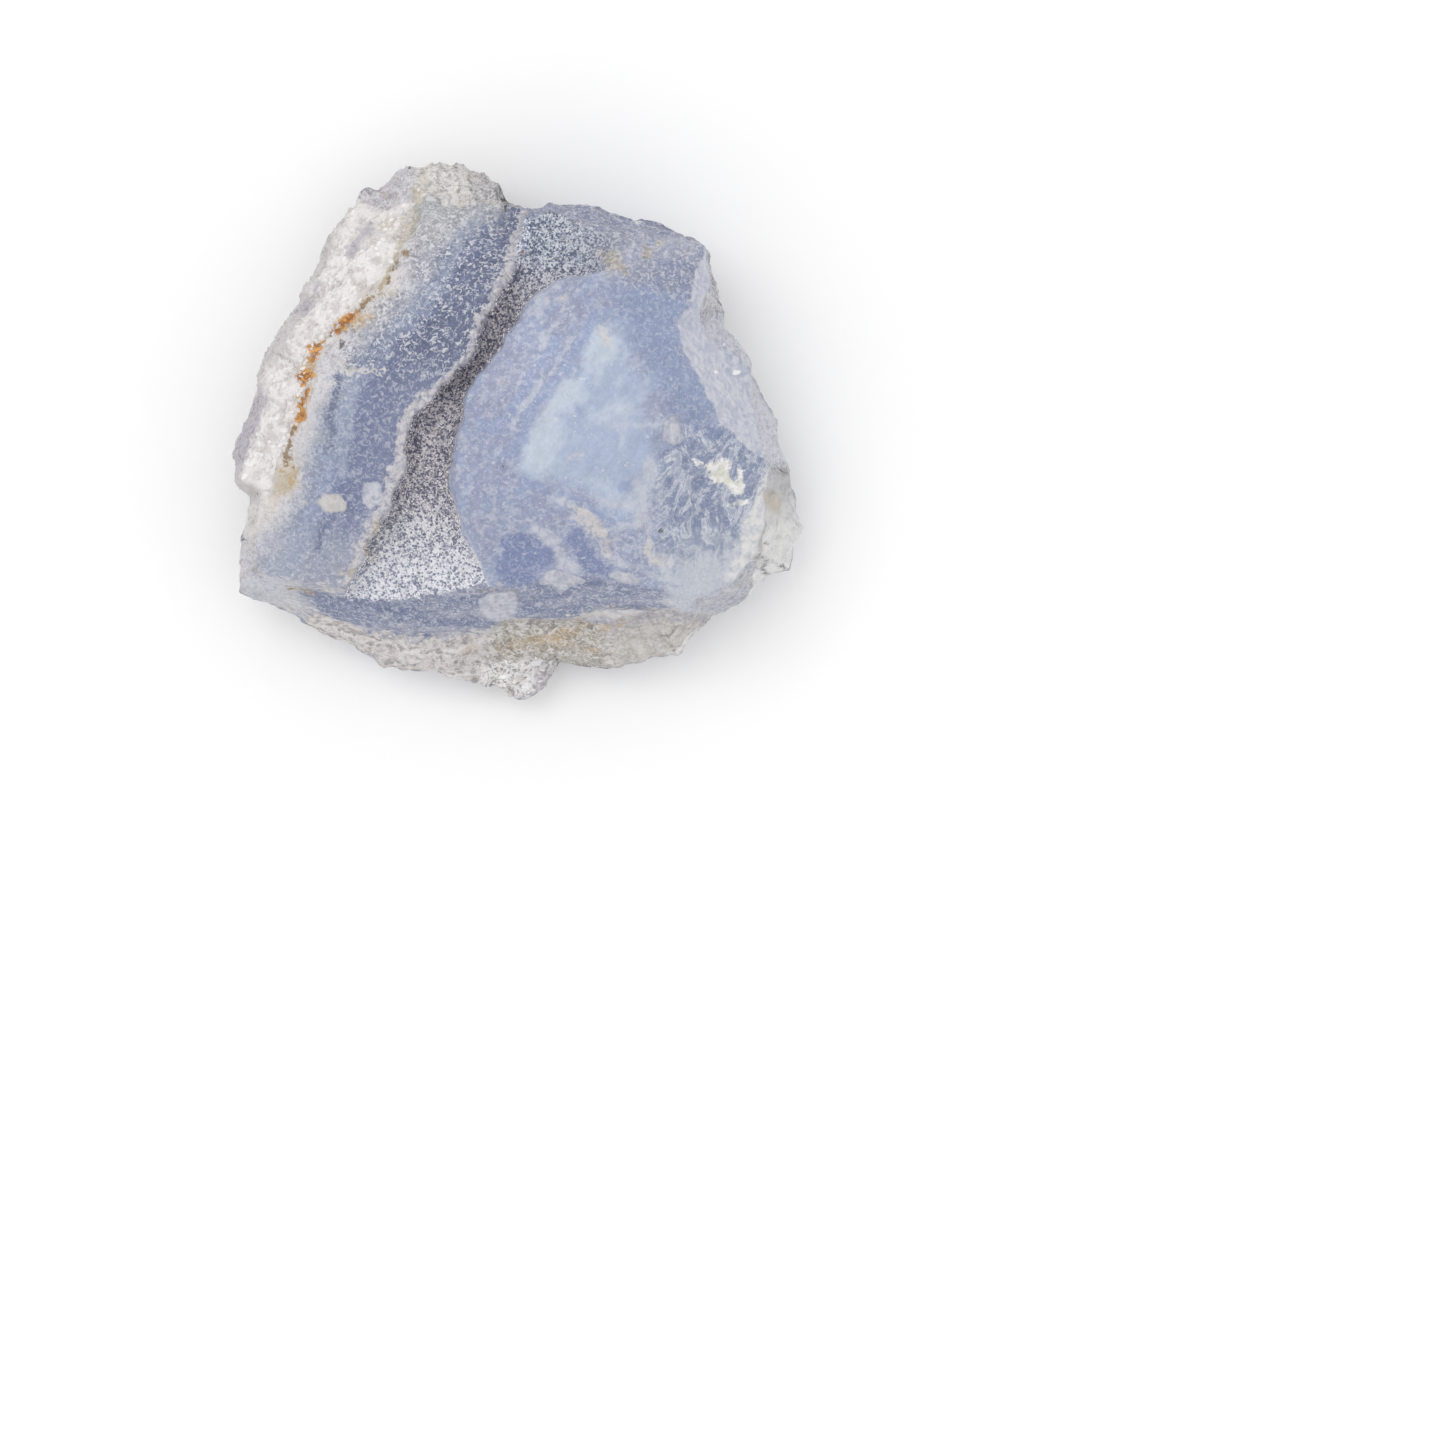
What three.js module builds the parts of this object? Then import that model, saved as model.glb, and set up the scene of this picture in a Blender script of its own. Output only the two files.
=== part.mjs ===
// Rough blue lace agate: one broken lump of banded chalcedony with a sugary quartz crust.
// Units are millimetres. The stone lies on its flat broken base. Seen from above, X runs to the
// right and Y to the far side, Z is up, and the origin is the middle of the base's level under
// the stone's bounding box.

import * as THREE from "three";
import { mergeVertices } from "three/addons/utils/BufferGeometryUtils.js";

const { clamp, lerp, radToDeg, euclideanModulo } = THREE.MathUtils;

// Outline of the stone seen from above, anticlockwise from the tip of the right-hand ledge.
const OUTLINE = [
  [18.0, -6.0], [17.6, -4.7], [17.2, -4.0], [17.0, -2.5], [16.4, -0.1], [15.8, 1.7],
  [15.25, 3.0], [14.8, 4.1], [13.7, 6.1], [13.1, 6.4], [12.9, 7.0], [12.8, 8.9],
  [12.2, 11.1], [11.8, 11.6], [10.2, 12.35], [8.0, 13.1], [5.7, 13.8], [3.0, 14.3],
  [2.0, 14.4], [1.3, 14.0], [0.0, 14.0], [-0.6, 14.3], [-1.0, 15.2], [-1.9, 15.8],
  [-3.0, 16.2], [-3.9, 16.85], [-4.5, 16.8], [-5.3, 16.8], [-6.0, 16.6], [-6.8, 16.85],
  [-7.7, 16.35], [-7.9, 15.9], [-8.7, 15.2], [-9.4, 15.2], [-9.9, 14.8], [-11.2, 13.0],
  [-12.4, 10.5], [-12.9, 9.4], [-13.4, 9.4], [-13.8, 8.1], [-15.1, 5.4], [-15.6, 5.1],
  [-16.3, 3.9], [-17.0, 1.0], [-17.7, -1.3], [-17.9, -3.2], [-17.1, -3.4], [-16.3, -3.9],
  [-16.6, -5.0], [-16.9, -5.9], [-17.4, -6.8], [-17.2, -8.8], [-17.4, -10.1], [-16.6, -10.7],
  [-14.0, -11.6], [-11.6, -13.1], [-10.6, -13.2], [-8.6, -14.3], [-6.1, -15.3], [-3.7, -15.4],
  [-1.8, -16.2], [0.4, -16.85], [1.6, -16.5], [2.7, -14.9], [4.2, -14.8], [5.4, -15.1],
  [8.6, -14.4], [10.1, -14.3], [11.0, -13.1], [12.0, -12.0], [14.3, -10.6], [15.9, -9.1],
  [17.2, -8.8], [17.4, -7.1],
];

// How each side stands, by its compass angle in degrees from +X: the height at which the stone
// is widest there, the height of the steep bands above and below that edge, and how steeply the
// stone goes on rising and falling inside them, in mm per mm.
const SIDES = [
  { at: -24, rim: 3.5, bandAbove: 1.4, above: 4.0, bandBelow: 1.2, below: 1.0 }, // ledge
  { at: -4, rim: 5.0, bandAbove: 2.6, above: 3.4, bandBelow: 1.6, below: 1.3 },
  { at: 22, rim: 6.4, bandAbove: 2.6, above: 3.0, bandBelow: 2.4, below: 1.5 }, // pale facet
  { at: 42, rim: 6.6, bandAbove: 3.4, above: 3.6, bandBelow: 2.6, below: 1.6 },
  { at: 78, rim: 6.0, bandAbove: 3.6, above: 4.0, bandBelow: 2.6, below: 1.7 }, // far edge
  { at: 94, rim: 5.2, bandAbove: 2.0, above: 2.6, bandBelow: 2.0, below: 1.5 },
  { at: 108, rim: 4.2, bandAbove: 2.0, above: 1.7, bandBelow: 1.6, below: 1.2 }, // knob
  { at: 124, rim: 5.2, bandAbove: 2.6, above: 2.2, bandBelow: 2.2, below: 1.4 },
  { at: 150, rim: 5.6, bandAbove: 2.8, above: 3.0, bandBelow: 2.4, below: 1.6 }, // crust
  { at: 184, rim: 5.6, bandAbove: 3.0, above: 3.4, bandBelow: 2.6, below: 1.7 },
  { at: 194, rim: 4.8, bandAbove: 2.4, above: 3.0, bandBelow: 1.6, below: 1.4 }, // notch
  { at: 211, rim: 4.6, bandAbove: 2.4, above: 3.2, bandBelow: 2.0, below: 1.6 }, // near corner
  { at: 236, rim: 3.0, bandAbove: 1.4, above: 2.4, bandBelow: 1.4, below: 1.2 },
  { at: 272, rim: 2.2, bandAbove: 1.0, above: 1.4, bandBelow: 0.9, below: 1.0 }, // tongue
  { at: 304, rim: 2.9, bandAbove: 1.4, above: 2.2, bandBelow: 1.2, below: 1.1 },
  { at: 322, rim: 3.2, bandAbove: 2.0, above: 3.4, bandBelow: 1.3, below: 1.0 },
];
const BAND_WIDTH = 0.42; // inset over which the steep bands take most of their height

// Lines on the top, as seen from above. SEAM to RIGHT_RIDGE run from the far side to the near
// one, and FRONT_BREAK and FOLD from right to left.
const SEAM = [
  [-5.4, 18.0], [-6.3, 15.4], [-7.0, 12.8], [-8.0, 10.2], [-9.7, 8.1], [-11.4, 6.4],
  [-13.0, 5.0], [-13.6, 2.4], [-14.2, -0.8], [-14.8, -3.4], [-16.4, -6.6], [-18.6, -8.6],
];
const LIP = [
  [1.2, 16.0], [0.4, 12.6], [-0.4, 9.8], [-2.0, 6.9], [-3.0, 4.6], [-4.8, 2.6],
  [-6.5, 0.8], [-7.1, -2.4], [-8.6, -6.0], [-10.2, -8.8], [-13.0, -12.4],
];
const LOBE_EDGE = [
  [16.0, 12.0], [10.4, 11.5], [7.8, 11.1], [6.0, 10.1], [2.6, 9.7], [1.2, 8.6], [-1.4, 5.1],
  [-3.2, 2.0], [-4.0, -0.6], [-4.1, -3.2], [-3.3, -6.2], [-1.9, -9.4], [-0.6, -12.0],
];
const RIGHT_BREAK = [
  [12.4, 13.4], [11.3, 9.4], [10.3, 6.6], [10.9, 4.5], [12.9, 0.5], [15.0, -1.6], [18.6, -2.8],
];
const RIGHT_RIDGE = [
  [17.8, -0.6], [16.0, -2.6], [15.5, -5.4], [15.0, -8.4], [14.0, -10.4], [11.6, -12.6],
];
const FRONT_BREAK = [
  [18.0, -11.0], [12.4, -10.9], [9.0, -10.3], [4.0, -10.0], [-1.5, -10.2], [-6.0, -10.6],
  [-11.0, -10.3], [-17.4, -9.4], [-20.0, -9.0],
];
const FOLD = [
  [19.0, -12.2], [12.3, -11.5], [9.7, -11.2], [4.0, -11.8], [-1.0, -11.9], [-2.2, -12.5],
  [-6.0, -12.7], [-9.2, -12.6], [-11.9, -11.7], [-15.5, -11.0], [-20.0, -10.6],
];

// Planes of the top, each by its height over one point and its rise per mm along X and Y.
const BENCH_FAR = { x: -6.0, y: 8.0, height: 12.9, alongX: 0.26, alongY: -0.34 };
const BENCH_MIDDLE = { x: -9.0, y: 0.0, height: 13.3, alongX: 0.24, alongY: 0.14 };
const BENCH_NEAR = { x: -12.0, y: -6.5, height: 11.6, alongX: 0.2, alongY: 0.34 };
const KNOB_TOP = { x: -5.0, y: 15.6, height: 7.8, alongX: 0.1, alongY: -0.9 };
const TROUGH_FAR = { x: 4.0, y: 11.6, height: 12.9, alongX: -0.12, alongY: -0.42 };
const TROUGH_NEAR = { x: -6.0, y: -6.0, height: 11.1, alongX: 0.22, alongY: 0.18 };
const LOBE_FRONT = { x: 3.0, y: -5.0, height: 14.6, alongX: 0.02, alongY: 0.75 };
const HACKLY_SLOPE = { x: 11.0, y: -5.0, height: 12.6, alongX: -0.46, alongY: 0.34 };
const LEDGE_TOP = { x: 16.4, y: -6.0, height: 5.6, alongX: -0.42, alongY: 0.12 };

const LOBE = { x: 3.6, y: 1.6, height: 16.5, fall: 0.028 }; // a shallow dome
const TROUGH_FLOOR = { height: 12.1, rise: 0.3 }; // at the foot of the lip, rising to the lobe
const RIGHT_FACET_FALL = 1.35; // drop per mm beyond the break on the right
const CRUST = { swell: 0.5, fall: 0.62, swellWidth: 2.6 }; // quartz crust beyond the seam
const SEAM_GROOVE = { depth: 0.4, halfWidth: 0.5 };
const FRONT_SLOPE = {
  left: { x: -16.0, height: 8.8, fall: 2.2 },
  right: { x: -6.0, height: 10.3, fall: 1.5 },
};
const RIND = { step: 1.0, fall: 0.95 }; // layered rind below the fold

// Heights over which surfaces that meet are rounded into each other.
const ROUNDING = { bench: 0.3, corner: 0.2, knob: 0.4, trough: 0.6, dome: 0.8, front: 0.25, rim: 0.5 };

// Where each wall between two surfaces starts and ends, by its distance from its line.
const LIP_WALL = [-0.4, 0.55];
const LOBE_WALL = [-0.6, 0.15];
const RIDGE_WALL = [-0.2, 0.7];
const FOLD_WALL = [-0.15, 0.5];

// Walls along whose top and foot the surface is cut, so that these edges come out clean.
const CLEAN_WALLS = [
  { line: LIP, at: LIP_WALL },
  { line: LOBE_EDGE, at: LOBE_WALL },
  { line: RIGHT_RIDGE, at: RIDGE_WALL },
  { line: FOLD, at: FOLD_WALL },
];
const SNAP = 0.2; // a point nearer than this to such an edge is moved onto it
const RIM_SHARE = 0.96; // share of the outline's radius beyond which nothing is cut

// Planes of the underside that rise from the base towards the far, left, right and near sides.
const UNDERSIDE = [
  { x: -4.0, y: 6.5, height: 0.0, alongX: -0.1, alongY: 0.5 },
  { x: -8.5, y: -2.0, height: 0.0, alongX: -0.55, alongY: -0.08 },
  { x: 9.0, y: 3.0, height: 0.0, alongX: 0.5, alongY: 0.22 },
  { x: 3.0, y: -10.0, height: 0.0, alongX: 0.12, alongY: -0.45 },
];
const UNDERSIDE_TAPER = 0.12; // least drop per mm from the edge inwards

// Relief, laid on along the surface's own normal: lattice noise in octaves, hollow chips that
// meet in sharp ridges, and the hackles of the near right corner.
const NOISE = { wavelength: 4.6, octaves: 3, gain: 0.55, lacunarity: 2.1 };
const ROUGH_DEPTH = 0.5; // of the noise on crust, rind and underside
const SMOOTH_DEPTH = 0.16; // of the noise on the fresh chalcedony
const LATTICE = { turns: [127.1, 311.7, 74.7], gain: 4375.85 }; // large, so that no two alike
const CHIPS = { width: 3.6, depth: 0.75, middle: 0.5 };
const HACKLES = { wavelength: 1.9, depth: 0.34 };

// Where the relief sets in: from none to all of it between two distances or places.
const ROUGH_FROM = {
  seam: [-1.6, 0.2],
  fold: [-0.4, 0.6],
  rim: [1.6, 0.3],
  knobY: [13.4, 14.6],
  knobX: [0.0, -1.5],
};
const HACKLES_FROM = { left: [7.5, 10.5], right: [15.6, 14.6], far: [1.0, -1.5], near: [-11.6, -9.5] };

const GRAIN = 20; // cuts of each edge of the icosahedron that the surface is spread from
const SPLIT = -0.4; // the level of the unit sphere that becomes the widest edge

// Height of a plane over a point.
function planeAt(plane, x, y) {
  return plane.height + plane.alongX * (x - plane.x) + plane.alongY * (y - plane.y);
}

// Smooth share from 0 at the first value to 1 at the second, which may be the lower one.
function ramp([from, to], value) {
  return THREE.MathUtils.smoothstep((value - from) / (to - from), 0, 1);
}

// The lower of two heights, rounded over a band of the given height.
function softMin(a, b, band) {
  const share = clamp(0.5 + (b - a) / (2 * band), 0, 1);
  return b + (a - b) * share - band * share * (1 - share);
}

// Nearest point of a line's straight pieces, with the signed distance to it: positive to the
// left of the line's direction.
function nearestOnLine(line, x, y) {
  let best = { distance: Infinity, side: 0 };
  for (let i = 0; i + 1 < line.length; i++) {
    const [ax, ay] = line[i];
    const dx = line[i + 1][0] - ax;
    const dy = line[i + 1][1] - ay;
    const length = Math.hypot(dx, dy);
    const along = clamp(((x - ax) * dx + (y - ay) * dy) / length ** 2, 0, 1);
    const place = [ax + along * dx, ay + along * dy];
    const distance = Math.hypot(x - place[0], y - place[1]);
    const side = (dx * (y - ay) - dy * (x - ax)) / length;
    const tied = Math.abs(distance - best.distance) <= 1e-9;
    const closer = tied ? Math.abs(side) > Math.abs(best.side) : distance < best.distance;
    if (closer) best = { place, distance, side };
  }
  return { place: best.place, distance: Math.sign(best.side) * best.distance };
}

function distanceToLine(line, x, y) {
  return nearestOnLine(line, x, y).distance;
}

// Distance from the middle to the outline along a direction.
function outlineRadius(angle) {
  const cos = Math.cos(angle);
  const sin = Math.sin(angle);
  for (let i = 0; i < OUTLINE.length; i++) {
    const [ax, ay] = OUTLINE[i];
    const [bx, by] = OUTLINE[(i + 1) % OUTLINE.length];
    const acrossA = cos * ay - sin * ax;
    const acrossB = cos * by - sin * bx;
    const ahead = ax * cos + ay * sin > 0;
    if (ahead && acrossA <= 0 && acrossB > 0) {
      const share = acrossA / (acrossA - acrossB);
      return Math.hypot(ax + share * (bx - ax), ay + share * (by - ay));
    }
  }
  throw new Error("the outline doesn't close round the middle");
}

// How the side stands at a compass angle: the table's rows, blended.
function sideAt(angle) {
  const turn = 360;
  const first = SIDES[0];
  const rows = [...SIDES, { ...first, at: first.at + turn }];
  const degrees = euclideanModulo(radToDeg(angle) - first.at, turn) + first.at;
  const next = rows.findIndex((row) => row.at > degrees);
  const [a, b] = [rows[next - 1], rows[next]];
  const share = ramp([a.at, b.at], degrees);
  const side = {};
  for (const key of ["rim", "bandAbove", "above", "bandBelow", "below"]) {
    side[key] = lerp(a[key], b[key], share);
  }
  return side;
}

// Banded bench on the left, with the seam's groove and the quartz crust beyond it.
function benchHeight(x, y) {
  const beyondSeam = -distanceToLine(SEAM, x, y);
  let bench = softMin(planeAt(BENCH_FAR, x, y), planeAt(BENCH_MIDDLE, x, y), ROUNDING.bench);
  bench = softMin(bench, planeAt(BENCH_NEAR, x, y), ROUNDING.corner);
  bench = softMin(bench, planeAt(KNOB_TOP, x, y), ROUNDING.knob);
  const groove = SEAM_GROOVE.depth * Math.exp(-((beyondSeam / SEAM_GROOVE.halfWidth) ** 2));
  const beyond = Math.max(beyondSeam, 0);
  const swell = CRUST.swell * Math.sin(Math.PI * Math.min(beyond / CRUST.swellWidth, 1));
  return bench - groove + swell - CRUST.fall * beyond;
}

// Matt trough between the bench and the lobe.
function troughHeight(x, y, pastLip) {
  const floor = TROUGH_FLOOR.height + TROUGH_FLOOR.rise * Math.max(pastLip, 0);
  const far = softMin(floor, planeAt(TROUGH_FAR, x, y), ROUNDING.trough);
  return softMin(far, planeAt(TROUGH_NEAR, x, y), ROUNDING.trough);
}

// Smooth lobe on the right, with its near slope, its pale facet and its hackly near corner.
function lobeHeight(x, y) {
  const dome = LOBE.height - LOBE.fall * ((x - LOBE.x) ** 2 + (y - LOBE.y) ** 2);
  const sloped = softMin(dome, planeAt(LOBE_FRONT, x, y), ROUNDING.dome);
  const pastBreak = distanceToLine(RIGHT_BREAK, x, y);
  const edge = sloped - RIGHT_FACET_FALL * Math.max(pastBreak, 0);
  return softMin(edge, planeAt(HACKLY_SLOPE, x, y), ROUNDING.bench);
}

// Near face of the stone: a frosted band below the front break, then the rind below the fold.
function frontHeight(x, y) {
  const { left, right } = FRONT_SLOPE;
  const share = ramp([left.x, right.x], x);
  const pastFold = distanceToLine(FOLD, x, y);
  const onRind = Math.max(pastFold, 0);
  const onBand = distanceToLine(FRONT_BREAK, x, y) - onRind;
  const step = RIND.step * ramp(FOLD_WALL, pastFold);
  const top = lerp(left.height, right.height, share);
  return top - lerp(left.fall, right.fall, share) * onBand - RIND.fall * onRind - step;
}

// Height of the top over a point of the plan, without the rim's own slope.
function openTopHeight(x, y) {
  const pastLip = distanceToLine(LIP, x, y);
  const insideLobe = distanceToLine(LOBE_EDGE, x, y);
  const overRidge = distanceToLine(RIGHT_RIDGE, x, y);
  let height = benchHeight(x, y);
  height = lerp(height, troughHeight(x, y, pastLip), ramp(LIP_WALL, pastLip));
  height = lerp(height, lobeHeight(x, y), ramp(LOBE_WALL, insideLobe));
  height = lerp(height, planeAt(LEDGE_TOP, x, y), ramp(RIDGE_WALL, overRidge));
  return softMin(height, frontHeight(x, y), ROUNDING.front);
}

function topHeight(x, y, inset, side) {
  const band = side.bandAbove * (1 - Math.exp(-inset / BAND_WIDTH));
  const wall = side.rim + band + side.above * inset;
  return softMin(openTopHeight(x, y), wall, Math.min(ROUNDING.rim, inset));
}

function undersideHeight(x, y, inset, side) {
  const band = side.bandBelow * (1 - Math.exp(-inset / BAND_WIDTH));
  const wall = side.rim - band - side.below * inset;
  const facets = UNDERSIDE.map((plane) => planeAt(plane, x, y));
  return Math.min(Math.max(0, wall, ...facets), side.rim - UNDERSIDE_TAPER * inset);
}

// Repeatable number from 0 to 1 for a point of the noise's lattice.
function latticeValue(i, j, k) {
  const { turns, gain } = LATTICE;
  const wave = Math.sin(i * turns[0] + j * turns[1] + k * turns[2]) * gain;
  return wave - Math.floor(wave);
}

const CORNERS = [0, 1, 2, 3, 4, 5, 6, 7].map((n) => [n & 1, (n >> 1) & 1, n >> 2]);

// Smooth noise from -1 to 1.
function noiseAt(x, y, z) {
  const [i, j, k] = [Math.floor(x), Math.floor(y), Math.floor(z)];
  const [u, v, w] = [x - i, y - j, z - k].map((part) => part * part * (3 - 2 * part));
  let sum = 0;
  for (const [di, dj, dk] of CORNERS) {
    const weight = (di ? u : 1 - u) * (dj ? v : 1 - v) * (dk ? w : 1 - w);
    sum += weight * latticeValue(i + di, j + dj, k + dk);
  }
  return 2 * sum - 1;
}

function octavesAt(p) {
  let [scale, gain, sum] = [1 / NOISE.wavelength, 1, 0];
  for (let octave = 0; octave < NOISE.octaves; octave++) {
    sum += gain * noiseAt(p.x * scale, p.y * scale, p.z * scale);
    scale *= NOISE.lacunarity;
    gain *= NOISE.gain;
  }
  return sum;
}

// Hollow chips: from -1 in the middle of a chip up to about 0 on the ridges between chips.
function chipAt(p) {
  const [x, y, z] = [p.x / CHIPS.width, p.y / CHIPS.width, p.z / CHIPS.width];
  const [i, j, k] = [Math.floor(x), Math.floor(y), Math.floor(z)];
  let nearest = Infinity;
  for (let di = -1; di <= 1; di++) {
    for (let dj = -1; dj <= 1; dj++) {
      for (let dk = -1; dk <= 1; dk++) {
        const [a, b, c] = [i + di, j + dj, k + dk];
        const dx = a + latticeValue(a, b, c) - x;
        const dy = b + latticeValue(b, c, a) - y;
        const dz = c + latticeValue(c, a, b) - z;
        nearest = Math.min(nearest, dx * dx + dy * dy + dz * dz);
      }
    }
  }
  return Math.min(nearest, 1) - 1;
}

// Share of full roughness: low on the fresh chalcedony of the top, high on crust and rind.
function roughShare(x, y, isTop, inset) {
  if (!isTop) return 1;
  const crust = ramp(ROUGH_FROM.seam, -distanceToLine(SEAM, x, y));
  const rind = ramp(ROUGH_FROM.fold, distanceToLine(FOLD, x, y));
  const knob = ramp(ROUGH_FROM.knobY, y) * ramp(ROUGH_FROM.knobX, x);
  return Math.max(crust, rind, knob, ramp(ROUGH_FROM.rim, inset));
}

// Share of the hackles: only on the near right corner of the lobe.
function hackleShare(x, y) {
  const { left, right, far, near } = HACKLES_FROM;
  return ramp(left, x) * ramp(right, x) * ramp(far, y) * ramp(near, y);
}

function reliefAt(p, isTop, inset) {
  const share = roughShare(p.x, p.y, isTop, inset);
  const noise = lerp(SMOOTH_DEPTH, ROUGH_DEPTH, share) * octavesAt(p);
  const chips = share * CHIPS.depth * (chipAt(p) + CHIPS.middle);
  if (!isTop) return noise + chips;
  const scale = 1 / HACKLES.wavelength;
  const ridge = 1 - 2 * Math.abs(noiseAt(p.x * scale, p.y * scale, p.z * scale));
  return noise + chips + HACKLES.depth * hackleShare(p.x, p.y) * ridge;
}

// One point of the unit sphere as a point of the plan, on the top or on the underside.
function planOf(direction) {
  const isTop = direction.z > SPLIT;
  const reach = isTop ? 1 - SPLIT : 1 + SPLIT;
  const lift = Math.min(Math.abs(direction.z - SPLIT) / reach, 1);
  const share = Math.sqrt(1 - lift * lift);
  const angle = Math.atan2(direction.y, direction.x);
  const radius = outlineRadius(angle) * share;
  return { x: radius * Math.cos(angle), y: radius * Math.sin(angle), isTop, share };
}

// Sphere of triangles, laid out over the plan: a closed skin whose points have no height yet.
function plainSkin() {
  const sphere = new THREE.IcosahedronGeometry(1, GRAIN);
  sphere.deleteAttribute("normal");
  sphere.deleteAttribute("uv");
  const merged = mergeVertices(sphere, 1e-5);
  const position = merged.getAttribute("position");
  const points = [];
  for (let i = 0; i < position.count; i++) {
    points.push(planOf(new THREE.Vector3().fromBufferAttribute(position, i)));
  }
  const triangles = [];
  for (let i = 0; i < merged.index.count; i += 3) {
    triangles.push([0, 1, 2].map((corner) => merged.index.getX(i + corner)));
  }
  return { points, triangles };
}

// Distance of a point of the skin past a level of a line. A near point is moved onto the level,
// and a point of the rim or underside counts as on it, so that no cut goes on there.
function pastLevel(point, line, level) {
  if (!point.isTop || point.share > RIM_SHARE) return 0;
  const { place, distance } = nearestOnLine(line, point.x, point.y);
  const past = distance - level;
  if (Math.abs(past) > SNAP || distance * level <= 0) return past;
  const scale = level / distance;
  point.x = place[0] + (point.x - place[0]) * scale;
  point.y = place[1] + (point.y - place[1]) * scale;
  return 0;
}

// Cuts the skin's triangles along one level of a line, and keeps both sides.
function cutSkin({ points, triangles }, line, level) {
  const past = points.map((point) => pastLevel(point, line, level));
  const crossings = new Map();
  const crossing = (i, j) => {
    const key = [Math.min(i, j), Math.max(i, j)].join();
    if (!crossings.has(key)) {
      const share = past[i] / (past[i] - past[j]);
      crossings.set(key, points.length);
      const blend = (key) => lerp(points[i][key], points[j][key], share);
      points.push({ x: blend("x"), y: blend("y"), isTop: true, share: blend("share") });
    }
    return crossings.get(key);
  };
  const cut = [];
  for (const triangle of triangles) {
    const sides = triangle.some((i) => past[i] !== 0) ? [1, -1] : [1];
    for (const side of sides) {
      const corners = [];
      triangle.forEach((i, corner) => {
        const j = triangle[(corner + 1) % 3];
        if (past[i] * side >= 0) corners.push(i);
        if (past[i] * past[j] < 0) corners.push(crossing(i, j));
      });
      for (let n = 1; n + 1 < corners.length; n++) {
        cut.push([corners[0], corners[n], corners[n + 1]]);
      }
    }
  }
  return { points, triangles: cut };
}

function stoneGeometry() {
  let skin = plainSkin();
  for (const { line, at } of CLEAN_WALLS) {
    for (const level of at) skin = cutSkin(skin, line, level);
  }
  const closed = [...OUTLINE, OUTLINE[0]];
  const points = skin.points.map(({ x, y, isTop }) => {
    const inset = Math.abs(distanceToLine(closed, x, y));
    const heightAt = isTop ? topHeight : undersideHeight;
    const height = heightAt(x, y, inset, sideAt(Math.atan2(y, x)));
    return { place: new THREE.Vector3(x, y, height), isTop, inset };
  });
  const position = new THREE.Float32BufferAttribute(points.length * 3, 3);
  points.forEach(({ place }, i) => position.setXYZ(i, ...place.toArray()));
  const geometry = new THREE.BufferGeometry();
  geometry.setAttribute("position", position);
  geometry.setIndex(skin.triangles.flat());
  geometry.computeVertexNormals();
  const normals = geometry.getAttribute("normal");
  const normal = new THREE.Vector3();
  points.forEach(({ place, isTop, inset }, i) => {
    if (place.z <= 0) return;
    normal.fromBufferAttribute(normals, i);
    place.addScaledVector(normal, reliefAt(place, isTop, inset));
    position.setXYZ(i, place.x, place.y, Math.max(place.z, 0));
  });
  geometry.deleteAttribute("normal");
  return centredOnBase(geometry);
}

// Moves the stone so that the middle of its bounding box stands over the origin.
function centredOnBase(geometry) {
  geometry.computeBoundingBox();
  const middle = geometry.boundingBox.getCenter(new THREE.Vector3());
  geometry.translate(-middle.x, -middle.y, -geometry.boundingBox.min.z);
  geometry.computeVertexNormals();
  return geometry;
}

const chalcedony = new THREE.MeshStandardMaterial({
  color: new THREE.Color(0.6, 0.66, 0.8),
  roughness: 0.45,
  metalness: 0,
});

const agate = new THREE.Mesh(stoneGeometry(), chalcedony);
agate.name = "agate";

const part = new THREE.Group();
part.add(agate);

export default part;
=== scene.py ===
# Rough blue lace agate: the finished surface of one broken lump of banded chalcedony.
# The named lengths are millimetres and the meshes are in metres. Seen from above, X runs to the
# right and Y to the far side, and Z is up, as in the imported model.

import functools
import math

import bmesh
import bpy
import numpy as np
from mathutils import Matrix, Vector


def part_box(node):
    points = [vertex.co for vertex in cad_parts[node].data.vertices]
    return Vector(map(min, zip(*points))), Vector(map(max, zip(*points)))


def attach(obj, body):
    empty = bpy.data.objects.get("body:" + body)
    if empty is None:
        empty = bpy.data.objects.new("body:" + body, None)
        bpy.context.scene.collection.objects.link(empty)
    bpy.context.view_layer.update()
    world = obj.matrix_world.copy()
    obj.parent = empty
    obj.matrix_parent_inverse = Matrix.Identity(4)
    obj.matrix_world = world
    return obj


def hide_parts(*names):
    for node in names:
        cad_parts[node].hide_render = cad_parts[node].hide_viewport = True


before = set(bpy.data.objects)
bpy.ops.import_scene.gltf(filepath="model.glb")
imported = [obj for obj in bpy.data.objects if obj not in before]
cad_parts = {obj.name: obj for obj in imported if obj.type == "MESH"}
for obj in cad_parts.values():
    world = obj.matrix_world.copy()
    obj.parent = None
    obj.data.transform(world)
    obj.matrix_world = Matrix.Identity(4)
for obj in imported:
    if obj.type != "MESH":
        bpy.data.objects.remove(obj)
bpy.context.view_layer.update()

MM = 0.001
TIED = 1e-9  # distances in mm that differ by less than this count as the same

# Form of the stone

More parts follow.
